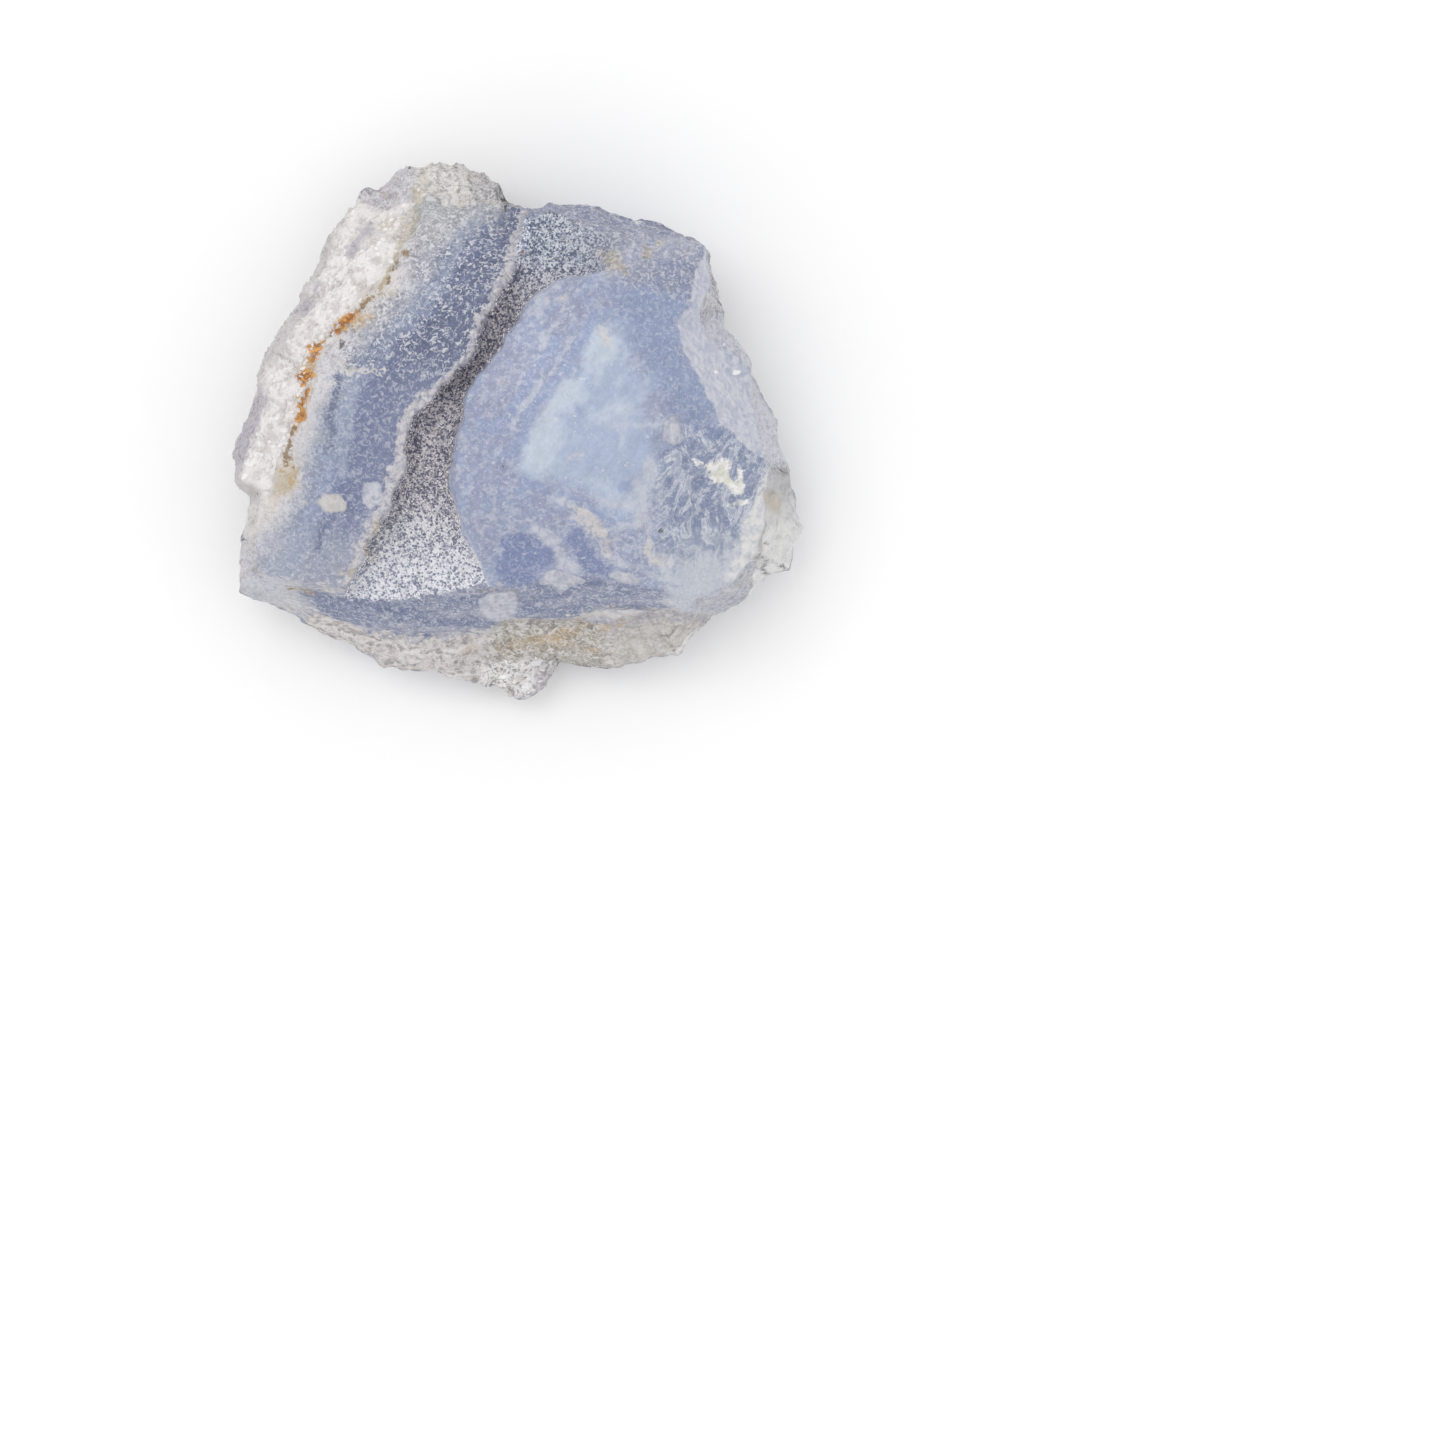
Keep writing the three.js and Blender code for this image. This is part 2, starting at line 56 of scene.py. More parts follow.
# Outline of the stone seen from above, anticlockwise from the tip of the right-hand ledge.
OUTLINE = [
    (18.0, -6.0), (17.6, -4.7), (17.2, -4.0), (17.0, -2.5), (16.4, -0.1), (15.8, 1.7),
    (15.25, 3.0), (14.6, 4.05), (13.5, 5.9), (12.9, 6.3), (12.65, 6.9), (12.8, 8.9),
    (12.5, 11.35), (12.1, 11.9), (10.5, 12.7), (8.1, 13.1), (5.5, 13.3), (3.0, 14.1),
    (2.0, 14.4), (1.3, 14.0), (0.0, 14.0), (-0.6, 14.3), (-1.0, 15.2), (-1.9, 15.8),
    (-2.9, 15.9), (-3.8, 16.5), (-4.4, 16.5), (-5.3, 16.7), (-6.0, 16.6), (-6.8, 16.85),
    (-7.8, 16.5), (-8.1, 16.1), (-8.9, 15.6), (-9.6, 15.5), (-10.1, 15.0), (-11.4, 13.25),
    (-12.7, 10.75), (-13.3, 9.8), (-13.8, 9.4), (-13.9, 8.2), (-15.0, 5.4), (-15.4, 5.0),
    (-16.1, 3.8), (-16.8, 1.0), (-17.5, -1.3), (-17.7, -3.1), (-17.3, -3.6), (-16.6, -4.1),
    (-16.7, -5.0), (-16.9, -5.9), (-17.3, -6.8), (-17.1, -8.8), (-17.1, -9.9), (-16.3, -10.5),
    (-13.7, -11.35), (-11.6, -13.1), (-10.8, -13.5), (-9.0, -14.7), (-6.1, -15.3), (-3.7, -15.5),
    (-1.8, -16.5), (0.4, -16.85), (1.6, -16.5), (2.7, -14.9), (4.2, -14.8), (5.4, -15.3),
    (8.6, -14.5), (10.3, -14.5), (11.3, -13.4), (12.1, -12.1), (14.1, -10.4), (15.7, -9.0),
    (17.2, -8.8), (17.4, -7.1),
]

# How each side stands, by its compass angle in degrees from +X: the height at which the stone
# is widest there, the height of the steep band above that edge and the rise per mm inside it,
# and the same below the edge.
SIDES = [
    (-24, 3.5, 1.4, 4.0, 1.2, 1.0),
    (-4, 5.0, 2.6, 3.4, 1.6, 1.3),
    (22, 6.4, 2.6, 3.0, 2.4, 1.5),
    (42, 6.6, 3.4, 3.6, 2.6, 1.6),
    (78, 6.0, 3.6, 4.0, 2.6, 1.7),
    (94, 5.2, 3.8, 3.2, 2.0, 1.5),
    (108, 4.2, 2.0, 1.7, 1.6, 1.2),
    (124, 5.2, 2.6, 2.2, 2.2, 1.4),
    (150, 5.6, 2.8, 3.0, 2.4, 1.6),
    (184, 5.6, 4.2, 3.6, 2.6, 1.7),
    (194, 4.8, 4.2, 3.4, 1.6, 1.4),
    (211, 4.6, 2.4, 3.2, 2.0, 1.6),
    (236, 3.0, 1.4, 2.4, 1.4, 1.2),
    (272, 2.2, 1.0, 1.4, 0.9, 1.0),
    (304, 2.9, 1.4, 2.2, 1.2, 1.1),
    (322, 3.2, 2.0, 3.4, 1.3, 1.0),
]
BAND_WIDTH = 0.42  # inset over which the steep bands take most of their height

# Lines on the top. The first five run from the far side to the near one, the others from right
# to left.
SEAM = [
    (-5.4, 18.0), (-6.3, 15.4), (-7.0, 12.8), (-8.0, 10.2), (-9.7, 8.1), (-11.4, 6.4),
    (-13.0, 5.0), (-13.6, 2.4), (-14.2, -0.8), (-14.8, -3.4), (-16.4, -6.6), (-18.6, -8.6),
]
LIP = [
    (1.2, 16.0), (0.4, 12.6), (-0.4, 9.8), (-2.0, 6.9), (-3.0, 4.6), (-4.8, 2.6),
    (-6.5, 0.8), (-7.1, -2.4), (-8.6, -6.0), (-10.2, -8.8), (-13.0, -12.4),
]
LOBE_EDGE = [
    (16.0, 12.0), (10.4, 11.5), (7.8, 11.1), (6.2, 9.8), (2.8, 9.3), (1.3, 8.4), (-1.4, 5.1),
    (-3.2, 2.0), (-4.0, -0.6), (-4.1, -3.2), (-3.3, -6.2), (-1.9, -9.4), (-0.6, -12.0),
]
RIGHT_BREAK = [
    (12.4, 13.4), (11.3, 10.4), (11.0, 9.2), (11.0, 8.0), (10.25, 7.0), (10.4, 5.5), (11.1, 3.9),
    (12.9, 0.5), (15.0, -1.6), (18.6, -2.8),
]
RIGHT_RIDGE = [
    (17.8, -0.6), (16.0, -2.6), (15.5, -5.4), (15.0, -8.4), (14.0, -10.4), (11.6, -12.6),
]
FRONT_BREAK = [
    (18.0, -11.0), (12.4, -10.9), (9.0, -10.3), (4.0, -10.0), (-1.5, -10.2), (-6.0, -10.6),
    (-11.0, -10.3), (-17.4, -9.4), (-20.0, -9.0),
]
FOLD = [
    (19.0, -12.2), (12.3, -11.5), (9.7, -11.2), (4.0, -11.8), (-1.0, -11.9), (-2.2, -12.5),
    (-6.0, -12.7), (-9.2, -12.6), (-11.9, -11.7), (-15.5, -11.0), (-20.0, -10.6),
]

# Planes of the top: a point's X, Y and height, and the rise per mm along X and Y.
BENCH_FAR = (-6.0, 8.0, 12.9, 0.26, -0.34)
BENCH_MIDDLE = (-9.0, 0.0, 13.3, 0.24, 0.14)
BENCH_NEAR = (-12.0, -6.5, 11.6, 0.2, 0.34)
KNOB_TOP = (-5.0, 15.6, 7.8, 0.1, -0.9)
TROUGH_FAR = (4.0, 11.6, 12.9, -0.12, -0.42)
TROUGH_NEAR = (-6.0, -6.0, 11.1, 0.22, 0.18)
LOBE_FRONT = (3.0, -5.0, 14.6, 0.02, 0.75)
HACKLY_SLOPE = (11.0, -5.0, 12.6, -0.46, 0.34)
LEDGE_TOP = (16.4, -6.0, 5.6, -0.42, 0.12)

LOBE_TOP = (3.6, 1.6, 16.5, 0.028)  # X, Y and height of the dome's top, and its fall
TROUGH_FLOOR = (12.1, 0.3)  # height at the foot of the lip, and rise per mm to the lobe
RIGHT_FACET_FALL = 1.35
CRUST_SWELL, CRUST_FALL, CRUST_WIDTH = 0.5, 0.62, 2.6
GROOVE_DEPTH, GROOVE_HALF_WIDTH = 0.4, 0.5
FRONT_LEFT = (-16.0, 8.8, 2.2)  # X, height at the break, and fall per mm
FRONT_RIGHT = (-6.0, 10.3, 1.5)
RIND_STEP, RIND_FALL = 1.0, 0.95
ROUND_BENCH, ROUND_CORNER, ROUND_KNOB, ROUND_TROUGH = 0.3, 0.2, 0.4, 0.6
ROUND_DOME, ROUND_FRONT, ROUND_RIM = 0.8, 0.25, 0.5

# Where each wall between two surfaces starts and ends, by its distance from its line.
LIP_WALL = (-0.05, 0.25)
LOBE_WALL = (-0.5, 0.15)
RIDGE_WALL = (-0.2, 0.7)
FOLD_WALL = (-0.15, 0.5)

# Planes of the underside that rise from the base.
UNDERSIDE = [
    (-4.0, 6.5, 0.0, -0.1, 0.5),
    (-8.5, -2.0, 0.0, -0.55, -0.08),
    (9.0, 3.0, 0.0, 0.5, 0.22),
    (3.0, -10.0, 0.0, 0.12, -0.45),
]
UNDERSIDE_TAPER = 0.12

# Main relief, as wide and deep as in the solid.
NOISE_WAVELENGTH, NOISE_OCTAVES, NOISE_GAIN, NOISE_LACUNARITY = 4.6, 3, 0.55, 2.1
ROUGH_DEPTH, SMOOTH_DEPTH = 0.5, 0.16
LATTICE_TURNS, LATTICE_GAIN = (127.1, 311.7, 74.7), 4375.85
CHIP_WIDTH, CHIP_DEPTH, CHIP_MIDDLE = 3.6, 0.75, 0.5
HACKLE_WAVELENGTH, HACKLE_DEPTH = 1.9, 0.34

# Fine relief, only here: wavelength or grain width, and depth.
WANDER = [(1.3, 0.18), (0.5, 0.12)]  # how the lines wander off their straight pieces
WANDER_SHIFT = 31.7  # how far apart the noises along X and along Y are read
CRUST_GRAINS = (0.75, 0.24)
CRUST_END = (-2.6, -1.8)  # Y over which the grains of the crust fade
RIND_GRAINS = (0.9, 0.2)
TROUGH_GRAINS = (0.45, 0.06)
BENCH_GRAINS = (0.5, 0.04)
RIM_CRINKLES = (0.5, 0.12)
FINE_HACKLES = (0.8, 0.13)
RIND_LAYERS = (0.55, 0.16)
RIPPLES = (1.1, 0.035)
CHIP_SCAR_DEPTH = 0.1
GRAIN_FULL = 0.12  # depth at which the painted shade in a gap between grains is at its darkest

# Scattered grains: how far apart they lie, their half widths, and how far up they are moved.
DRUSE = {"Spacing": 0.34, "Smallest": 0.1, "Largest": 0.32, "Lift": -0.12, "Seed": 5}
TROUGH_SAND = {"Spacing": 0.14, "Smallest": 0.05, "Largest": 0.1, "Lift": -0.01, "Seed": 8}
DENSEST = 8.0e7  # grains per square metre before the spacing thins them

# Inputs of the grains' nodes, with their kinds.
SCATTER_INPUTS = {
    "Geometry": "NodeSocketGeometry", "Spacing": "NodeSocketFloat", "Smallest": "NodeSocketFloat",
    "Largest": "NodeSocketFloat", "Lift": "NodeSocketFloat", "Seed": "NodeSocketInt",
}

# Spans of distance over which the fine relief of one surface gives way to another's.
NEAR_EDGE = CRUST_EDGE = (-0.1, 0.2)
WALL_EDGE = (-0.3, 0.1)
IN_LOBE, PAST_LIP, PAST_FOLD, IN_CHIP = (-0.3, 0.0), (0.1, 0.3), (-0.1, 0.3), (-0.05, 0.1)
SAND_EDGE, SAND_COVER, SAND_FADE = (0.0, 0.1), (0.5, 0.9), (0.2, 0.8)
DRUSE_END, DRUSE_THINNED, TONGUE_DRUSE = (13.6, 14.6), 0.7, 0.5
BASE_EDGE = (0.0, 0.3)  # height over which the relief begins

# Spans over which the main relief turns from smooth to rough.
CRUST_ROUGH, RIND_ROUGH, RIM_ROUGH = (-1.6, 0.2), (-0.4, 0.6), (1.6, 0.3)

# The fine hackles' stretch, how the rind's layers stray, and the ripples' middle, stray and reach.
HACKLE_STRETCH, SMOOTHED_HACKLES = (1.0, 0.55, 1.0), 0.8
LAYER_STRAY = (2.0, 0.3)
RIPPLE_MIDDLE, RIPPLE_STRAY, RIPPLE_REACH = (14.0, -2.0), (3.0, 0.5), (4.0, 9.0)

# Soft zones of the top. Each is a product of ramps: along which axis, the place in mm where the
# share is 0, and the place where it is 1.
X, Y = 0, 1
ROUGH_KNOB = [(Y, 13.4, 14.6), (X, 0.0, -1.5)]
HACKLED = [(X, 7.5, 10.5), (X, 15.6, 14.6), (Y, 1.0, -1.5), (Y, -11.6, -9.5)]
SOFT_LOBE = [(X, 5.0, 7.6), (Y, 6.0, 8.0)]
ZONES = {
    "near_share": [(Y, -4.0, -8.5)],
    "ledge_low": [(Y, -3.0, -6.6)],
    "knob_shade": [(Y, 10.8, 14.4), (X, 0.4, -1.4)],
    "knob_left": [(X, -5.6, -7.0)],
    "knob_right": [(X, -3.6, -2.2)],
    "near_corner": [(X, -11.3, -16.3), (Y, -8.0, -9.6)],
    "speckle": [(Y, 2.0, 5.5)],
    "trough_fade": [(X, 2.5, 8.0), (Y, 8.0, 10.0)],
    "trough_far": [(Y, 8.0, 11.0)],
    "marbled": [(Y, 3.0, -2.5), (X, 1.5, 4.0)],
    "hackly": [(X, 7.6, 10.2), (Y, 1.4, -1.0)],
    "smooth_corner": [(Y, -4.8, -9.4), (X, 7.5, 10.5)],
    "far_side": [(Y, 8.0, 11.0), (X, -1.0, 1.0)],
    "right_side": [(X, 10.5, 12.0), (Y, 6.6, 8.2)],
    "facet_side": [(X, 11.5, 12.5), (Y, -2.6, -1.4), (Y, 8.2, 6.6)],
    "chip_beige": [(X, -10.0, -10.6)],
    "rind_right": [(X, 4.5, 7.0)],
    "rind_middle": [(X, -3.0, -0.5), (X, 6.5, 4.5)],
    "tongue": [(Y, -14.0, -15.4), (X, -3.4, -1.4), (X, 3.0, 2.0)],
    "tongue_end": [(X, 0.4, 1.4), (Y, -15.0, -15.8)],
}
RIND_BEHIND = [(X, -11.5, -8.0), (X, -1.0, -3.0)]  # where the rind begins past the fold

# Zones whose shares are joined, each with its weight: where bands next to the seam are missing,
# and where the trough's grains are light.
SEAM_MISSING = [(0.55, [(Y, 3.0, -1.5)]), (0.45, [(Y, -4.0, -8.5)])]
TROUGH_LIGHT = [(1.0, [(Y, -2.6, -9.8)]), (0.2, [(X, -1.0, 3.0)])]

# The zones of the far knob and the far corner: the X from which their near edge leans, its lean,
# and the spans over which they begin in Y and in X.
KNOB_START, KNOB_SLANT, KNOB_ABOVE, KNOB_WIDTH = -3.5, 0.35, (14.4, 15.4), (0.0, -1.5)
CORNER_START, CORNER_SLANT, CORNER_ABOVE, CORNER_WIDTH = 6.0, 0.25, (8.4, 10.6), (4.2, 6.4)
CRUST_FROM, KNOB_FROM, KNOB_TO = -4.5, 14.8, -0.8  # lowest Y of each, and the knob's last X

MIDDLE = (0.0, 0.0, 5.0)  # the relief at the rim moves points away from here
RIM_TURN = (0.2, 1.6)  # inset over which it turns square to the surface
SEGMENTS = 99  # cuts of each edge of the icosahedron that the surface is spread from
SPLIT = -0.4  # level of the unit sphere that becomes the widest edge

# Where the camera stands: what the square picture spans at the level of the stone's rim, the
# middle of the picture there, and how far above it the camera is.
VIEW_WIDTH = 91.34
VIEW_MIDDLE = (12.88, -18.43)
RIM_LEVEL, TOP_LEVEL = 5.0, 12.5
CAMERA_DISTANCE = 1000.0


def plane_at(plane, x, y):
    px, py, height, along_x, along_y = plane
    return height + along_x * (x - px) + along_y * (y - py)


def ramp(span, value):
    """Smooth share from 0 at the span's first value to 1 at its second."""
    low, high = span
    share = np.clip((value - low) / (high - low), 0.0, 1.0)
    return share * share * (3.0 - 2.0 * share)


def zone(ramps, *place):
    """Share of a soft zone at each place."""
    return math.prod(ramp(span, place[axis]) for axis, *span in ramps)


def blend(a, b, share):
    return a + (b - a) * share


def soft_min(a, b, band):
    share = np.clip(0.5 + (b - a) / (2.0 * band), 0.0, 1.0)
    return b + (a - b) * share - band * share * (1.0 - share)


def piece_of_line(start, end, x, y):
    """Distance to a straight piece of a line, and how far to its left its full line passes."""
    (ax, ay), (bx, by) = start, end
    dx, dy = bx - ax, by - ay
    length = math.hypot(dx, dy)
    along = np.clip(((x - ax) * dx + (y - ay) * dy) / length**2, 0.0, 1.0)
    distance = np.hypot(x - ax - along * dx, y - ay - along * dy)
    return distance, (dx * (y - ay) - dy * (x - ax)) / length


def distance_to(line, x, y):
    """Signed distance to an open line, positive to the left of its direction."""
    nearest = np.full(np.shape(x), np.inf)
    side = np.zeros(np.shape(x))
    for start, end in zip(line, line[1:]):
        distance, left = piece_of_line(start, end, x, y)
        tied = np.abs(distance - nearest) <= TIED
        closer = np.where(tied, np.abs(left) > np.abs(side), distance < nearest)
        side = np.where(closer, left, side)
        nearest = np.minimum(nearest, distance)
    return np.sign(side) * nearest


def outline_radius(angle):
    """Distance from the middle to the outline along a direction."""
    corners = np.array(OUTLINE)
    turns = np.arctan2(corners[:, 1], corners[:, 0])
    order = np.argsort(turns)
    corners, turns = corners[order], turns[order]
    corners = np.vstack([corners[-1:], corners, corners[:1]])
    turns = np.concatenate([[turns[-1] - math.tau], turns, [turns[0] + math.tau]])
    after = np.clip(np.searchsorted(turns, angle, side="right"), 1, len(turns) - 1)
    a, b = corners[after - 1], corners[after]
    cos, sin = np.cos(angle), np.sin(angle)
    across_a = cos * a[:, 1] - sin * a[:, 0]
    across_b = cos * b[:, 1] - sin * b[:, 0]
    place = a + (across_a / (across_a - across_b))[:, None] * (b - a)
    return np.hypot(place[:, 0], place[:, 1])


def side_at(angle):
    """The rows of SIDES, blended at each angle, as one column for each value."""
    rows = np.array(SIDES + [(SIDES[0][0] + 360,) + SIDES[0][1:]])
    start = SIDES[0][0]
    degrees = np.mod(np.degrees(angle) - start, 360.0) + start
    after = np.clip(np.searchsorted(rows[:, 0], degrees, side="right"), 1, len(rows) - 1)
    share = ramp((rows[after - 1, 0], rows[after, 0]), degrees)
    return blend(rows[after - 1, 1:], rows[after, 1:], share[:, None]).T


def as_seen(x, y):
    """Where the picture shows a point of the top, which stands nearer the camera than the rim."""
    across, along = VIEW_MIDDLE
    nearer = CAMERA_DISTANCE / (CAMERA_DISTANCE + RIM_LEVEL - TOP_LEVEL)
    return across + nearer * (x - across), along + nearer * (y - along)


def bench_height(x, y):
    beyond_seam = -distance_to(SEAM, x, y)
    bench = soft_min(plane_at(BENCH_FAR, x, y), plane_at(BENCH_MIDDLE, x, y), ROUND_BENCH)
    bench = soft_min(bench, plane_at(BENCH_NEAR, x, y), ROUND_CORNER)
    bench = soft_min(bench, plane_at(KNOB_TOP, x, y), ROUND_KNOB)
    groove = GROOVE_DEPTH * np.exp(-((beyond_seam / GROOVE_HALF_WIDTH) ** 2))
    beyond = np.maximum(beyond_seam, 0.0)
    swell = CRUST_SWELL * np.sin(math.pi * np.minimum(beyond / CRUST_WIDTH, 1.0))
    return bench - groove + swell - CRUST_FALL * beyond


def trough_height(x, y, past_lip):
    height, rise = TROUGH_FLOOR
    floor = height + rise * np.maximum(past_lip, 0.0)
    far = soft_min(floor, plane_at(TROUGH_FAR, x, y), ROUND_TROUGH)
    return soft_min(far, plane_at(TROUGH_NEAR, x, y), ROUND_TROUGH)


def lobe_height(x, y):
    px, py, height, fall = LOBE_TOP
    dome = height - fall * ((x - px) ** 2 + (y - py) ** 2)
    sloped = soft_min(dome, plane_at(LOBE_FRONT, x, y), ROUND_DOME)
    edge = sloped - RIGHT_FACET_FALL * np.maximum(distance_to(RIGHT_BREAK, x, y), 0.0)
    return soft_min(edge, plane_at(HACKLY_SLOPE, x, y), ROUND_BENCH)


def front_height(x, y):
    share = ramp((FRONT_LEFT[0], FRONT_RIGHT[0]), x)
    past_fold = distance_to(FOLD, x, y)
    on_rind = np.maximum(past_fold, 0.0)
    on_band = distance_to(FRONT_BREAK, x, y) - on_rind
    step = RIND_STEP * ramp(FOLD_WALL, past_fold)
    top = blend(FRONT_LEFT[1], FRONT_RIGHT[1], share)
    fall = blend(FRONT_LEFT[2], FRONT_RIGHT[2], share)
    return top - fall * on_band - RIND_FALL * on_rind - step


def upper_height(x, y):
    """Height of the top without its near face and the rim's slope."""
    past_lip = stepped_lip(x, y)
    height = bench_height(x, y)
    height = blend(height, trough_height(x, y, past_lip), ramp(LIP_WALL, past_lip))
    height = blend(height, lobe_height(x, y), ramp(LOBE_WALL, softened_lobe(x, y)))
    over_ridge = distance_to(RIGHT_RIDGE, x, y)
    return blend(height, plane_at(LEDGE_TOP, x, y), ramp(RIDGE_WALL, over_ridge))


def underside_height(x, y, inset, side):
    rim, _, _, band_below, below = side
    wall = rim - band_below * (1.0 - np.exp(-inset / BAND_WIDTH)) - below * inset
    height = np.maximum(wall, 0.0)
    for plane in UNDERSIDE:
        height = np.maximum(height, plane_at(plane, x, y))
    return np.minimum(height, rim - UNDERSIDE_TAPER * inset)


# Repeatable noise, worked on arrays of points with one row each


def lattice_value(i, j, k):
    turns = LATTICE_TURNS
    wave = np.sin(i * turns[0] + j * turns[1] + k * turns[2]) * LATTICE_GAIN
    return wave - np.floor(wave)


def noise(points, wavelength):
    """Smooth noise from -1 to 1."""
    scaled = points / wavelength
    cell = np.floor(scaled)
    part = scaled - cell
    part = part * part * (3.0 - 2.0 * part)
    total = np.zeros(len(points))
    for corner in np.ndindex(2, 2, 2):
        shift = np.array(corner)
        weight = np.prod(np.where(shift, part, 1.0 - part), axis=1)
        total += weight * lattice_value(*(cell + shift).T)
    return 2.0 * total - 1.0


def octaves(points):
    total, gain, wavelength = 0.0, 1.0, NOISE_WAVELENGTH
    for _ in range(NOISE_OCTAVES):
        total = total + gain * noise(points, wavelength)
        wavelength /= NOISE_LACUNARITY
        gain *= NOISE_GAIN
    return total


def cells(points, width):
    """Squared distance to the nearest scattered point, in cell widths and at most 1."""
    scaled = points / width
    cell = np.floor(scaled)
    nearest = np.ones(len(points))
    for corner in np.ndindex(3, 3, 3):
        a, b, c = (cell + np.array(corner) - 1.0).T
        dx = a + lattice_value(a, b, c) - scaled[:, 0]
        dy = b + lattice_value(b, c, a) - scaled[:, 1]
        dz = c + lattice_value(c, a, b) - scaled[:, 2]
        nearest = np.minimum(nearest, dx * dx + dy * dy + dz * dz)
    return nearest


def ridges(points, wavelength):
    return 1.0 - 2.0 * np.abs(noise(points, wavelength))


def wandered(x, y):
    """The same place, moved a little, so that lines through it wander."""
    flat = np.column_stack([x, y, np.zeros(len(x))])
    shifted = flat + WANDER_SHIFT
    for wavelength, depth in WANDER:
        x = x + depth * noise(flat, wavelength)
        y = y + depth * noise(shifted, wavelength)
    return x, y


# Markings, by their places in mm seen from above. Each is a function that gives how deep inside
# it a point lies in mm, negative outside.


def area(*corners):
    """A patch inside a closed outline."""
    def depth(x, y):
        inside = np.zeros(len(x), dtype=bool)
        nearest = np.full(len(x), np.inf)
        for start, end in zip(corners, corners[1:] + corners[:1]):
            distance, left = piece_of_line(start, end, x, y)
            nearest = np.minimum(nearest, distance)
            rises = (start[1] <= y) & (y < end[1]) & (left > 0.0)
            falls = (end[1] <= y) & (y < start[1]) & (left < 0.0)
            inside ^= rises | falls
        return np.where(inside, nearest, -nearest)
    return depth


def oval(px, py, long_half, short_half, degrees=0.0):
    turn = math.radians(degrees)

    def depth(x, y):
        along = (x - px) * math.cos(turn) + (y - py) * math.sin(turn)
        across = (y - py) * math.cos(turn) - (x - px) * math.sin(turn)
        return (1.0 - np.hypot(along / long_half, across / short_half)) * short_half
    return depth


def streak(half_width, *points):
    """A line of the given half width."""
    return lambda x, y: half_width - np.abs(distance_to(points, x, y))


CHIPS = [
    area((-12.7, -4.4), (-12.3, -4.0), (-11.3, -4.1), (-10.8, -4.6), (-11.0, -5.1), (-12.1, -5.1)),
    area((-9.8, -3.3), (-8.6, -3.2), (-8.4, -4.2), (-9.0, -5.1), (-9.8, -4.6)),
    area((1.3, -9.5), (1.8, -9.0), (2.5, -8.8), (3.5, -9.1), (4.4, -9.5), (3.5, -9.8), (2.6, -10.2),
         (1.9, -9.8)),
    area((5.6, -9.0), (6.3, -8.8), (7.4, -9.1), (8.0, -9.5), (7.2, -9.7), (6.1, -9.6)),
    area((-2.6, -10.7), (-2.1, -10.2), (-0.1, -10.1), (0.3, -10.9), (-0.3, -11.8), (-1.6, -12.0),
         (-2.3, -11.6)),
    area((3.9, -11.9), (4.8, -11.4), (6.0, -11.1), (7.4, -11.1), (8.4, -11.4), (6.8, -11.9),
         (5.2, -12.3), (4.3, -12.3)),
    area((9.3, 0.6), (9.9, 0.9), (10.4, 0.5), (10.5, -0.3), (10.1, -0.9), (9.4, -0.7), (9.2, -0.1)),
]
MILK = [
    area((4.9, 6.8), (6.6, 6.3), (7.3, 4.6), (8.3, 3.2), (8.6, 0.8), (8.9, -1.2), (8.5, -3.6),
         (7.4, -5.4), (5.4, -5.0), (3.8, -4.1), (1.8, -3.5), (0.4, -2.8), (0.0, -1.6), (0.5, -0.2),
         (2.4, 1.8), (3.8, 3.9)),
]
MILK_BRIGHT = [
    area((2.9, 3.4), (4.1, 3.3), (4.5, 2.1), (3.8, 1.3), (2.9, 0.8), (3.3, -0.3), (2.7, -1.2),
         (2.4, -2.6), (1.2, -3.1), (0.4, -2.2), (0.4, -0.9), (0.7, 0.0), (1.7, 1.5)),
    area((4.5, 6.5), (6.2, 6.3), (6.5, 5.0), (5.9, 4.1), (5.0, 2.9), (4.3, 4.2)),
    oval(6.6, -0.7, 0.2, 0.5), oval(6.8, 1.4, 0.9, 0.5, 20), oval(5.6, -3.6, 1.4, 0.3, -20),
    streak(0.1, (4.6, 1.3), (6.0, 0.5), (7.6, 0.4), (9.1, 0.6)),
    streak(0.08, (6.8, 4.6), (7.0, 3.9), (6.5, 3.1)),
]
DEEP = [
    area((5.7, 8.6), (7.9, 9.6), (11.1, 9.6), (10.8, 8.1), (10.2, 7.1), (10.4, 5.3), (11.9, 2.3),
         (13.0, -0.6), (11.9, -1.0), (9.4, 1.4), (8.7, 3.6), (7.2, 5.6), (6.4, 7.1)),
    area((7.0, 0.4), (8.8, 0.3), (9.0, -0.8), (7.2, -0.8)),
    area((5.3, 3.2), (7.2, 3.4), (7.4, 2.0), (5.6, 1.8)),
]
INDIGO_PATCHES = [
    area((-1.1, -6.9), (0.3, -6.5), (1.2, -6.5), (2.0, -7.2), (2.6, -8.2), (1.6, -8.8), (0.4, -8.8),
         (-1.0, -8.2)),
    area((-1.4, -7.9), (0.3, -8.6), (1.2, -9.2), (1.2, -9.9), (0.0, -9.9), (-1.2, -9.4)),
    area((2.9, -6.9), (3.3, -6.4), (4.1, -6.2), (4.6, -6.9), (5.1, -7.9), (6.0, -8.7), (5.6, -9.3),
         (4.6, -9.0), (3.6, -7.9)),
    area((4.4, -9.8), (5.9, -9.6), (8.2, -9.8), (10.0, -10.3), (9.4, -10.9), (7.0, -10.9),
         (4.0, -10.6), (3.0, -10.2)),
    area((11.0, 0.5), (13.0, 0.1), (12.9, -1.5), (11.9, -0.9)),
    area((9.9, -2.3), (10.6, -2.1), (10.7, -3.4), (10.0, -3.8)),
    area((11.3, -2.4), (12.0, -2.6), (12.0, -3.2), (11.4, -3.2)),
    area((12.3, -6.2), (13.0, -6.0), (12.8, -7.4), (12.3, -7.4)),
]
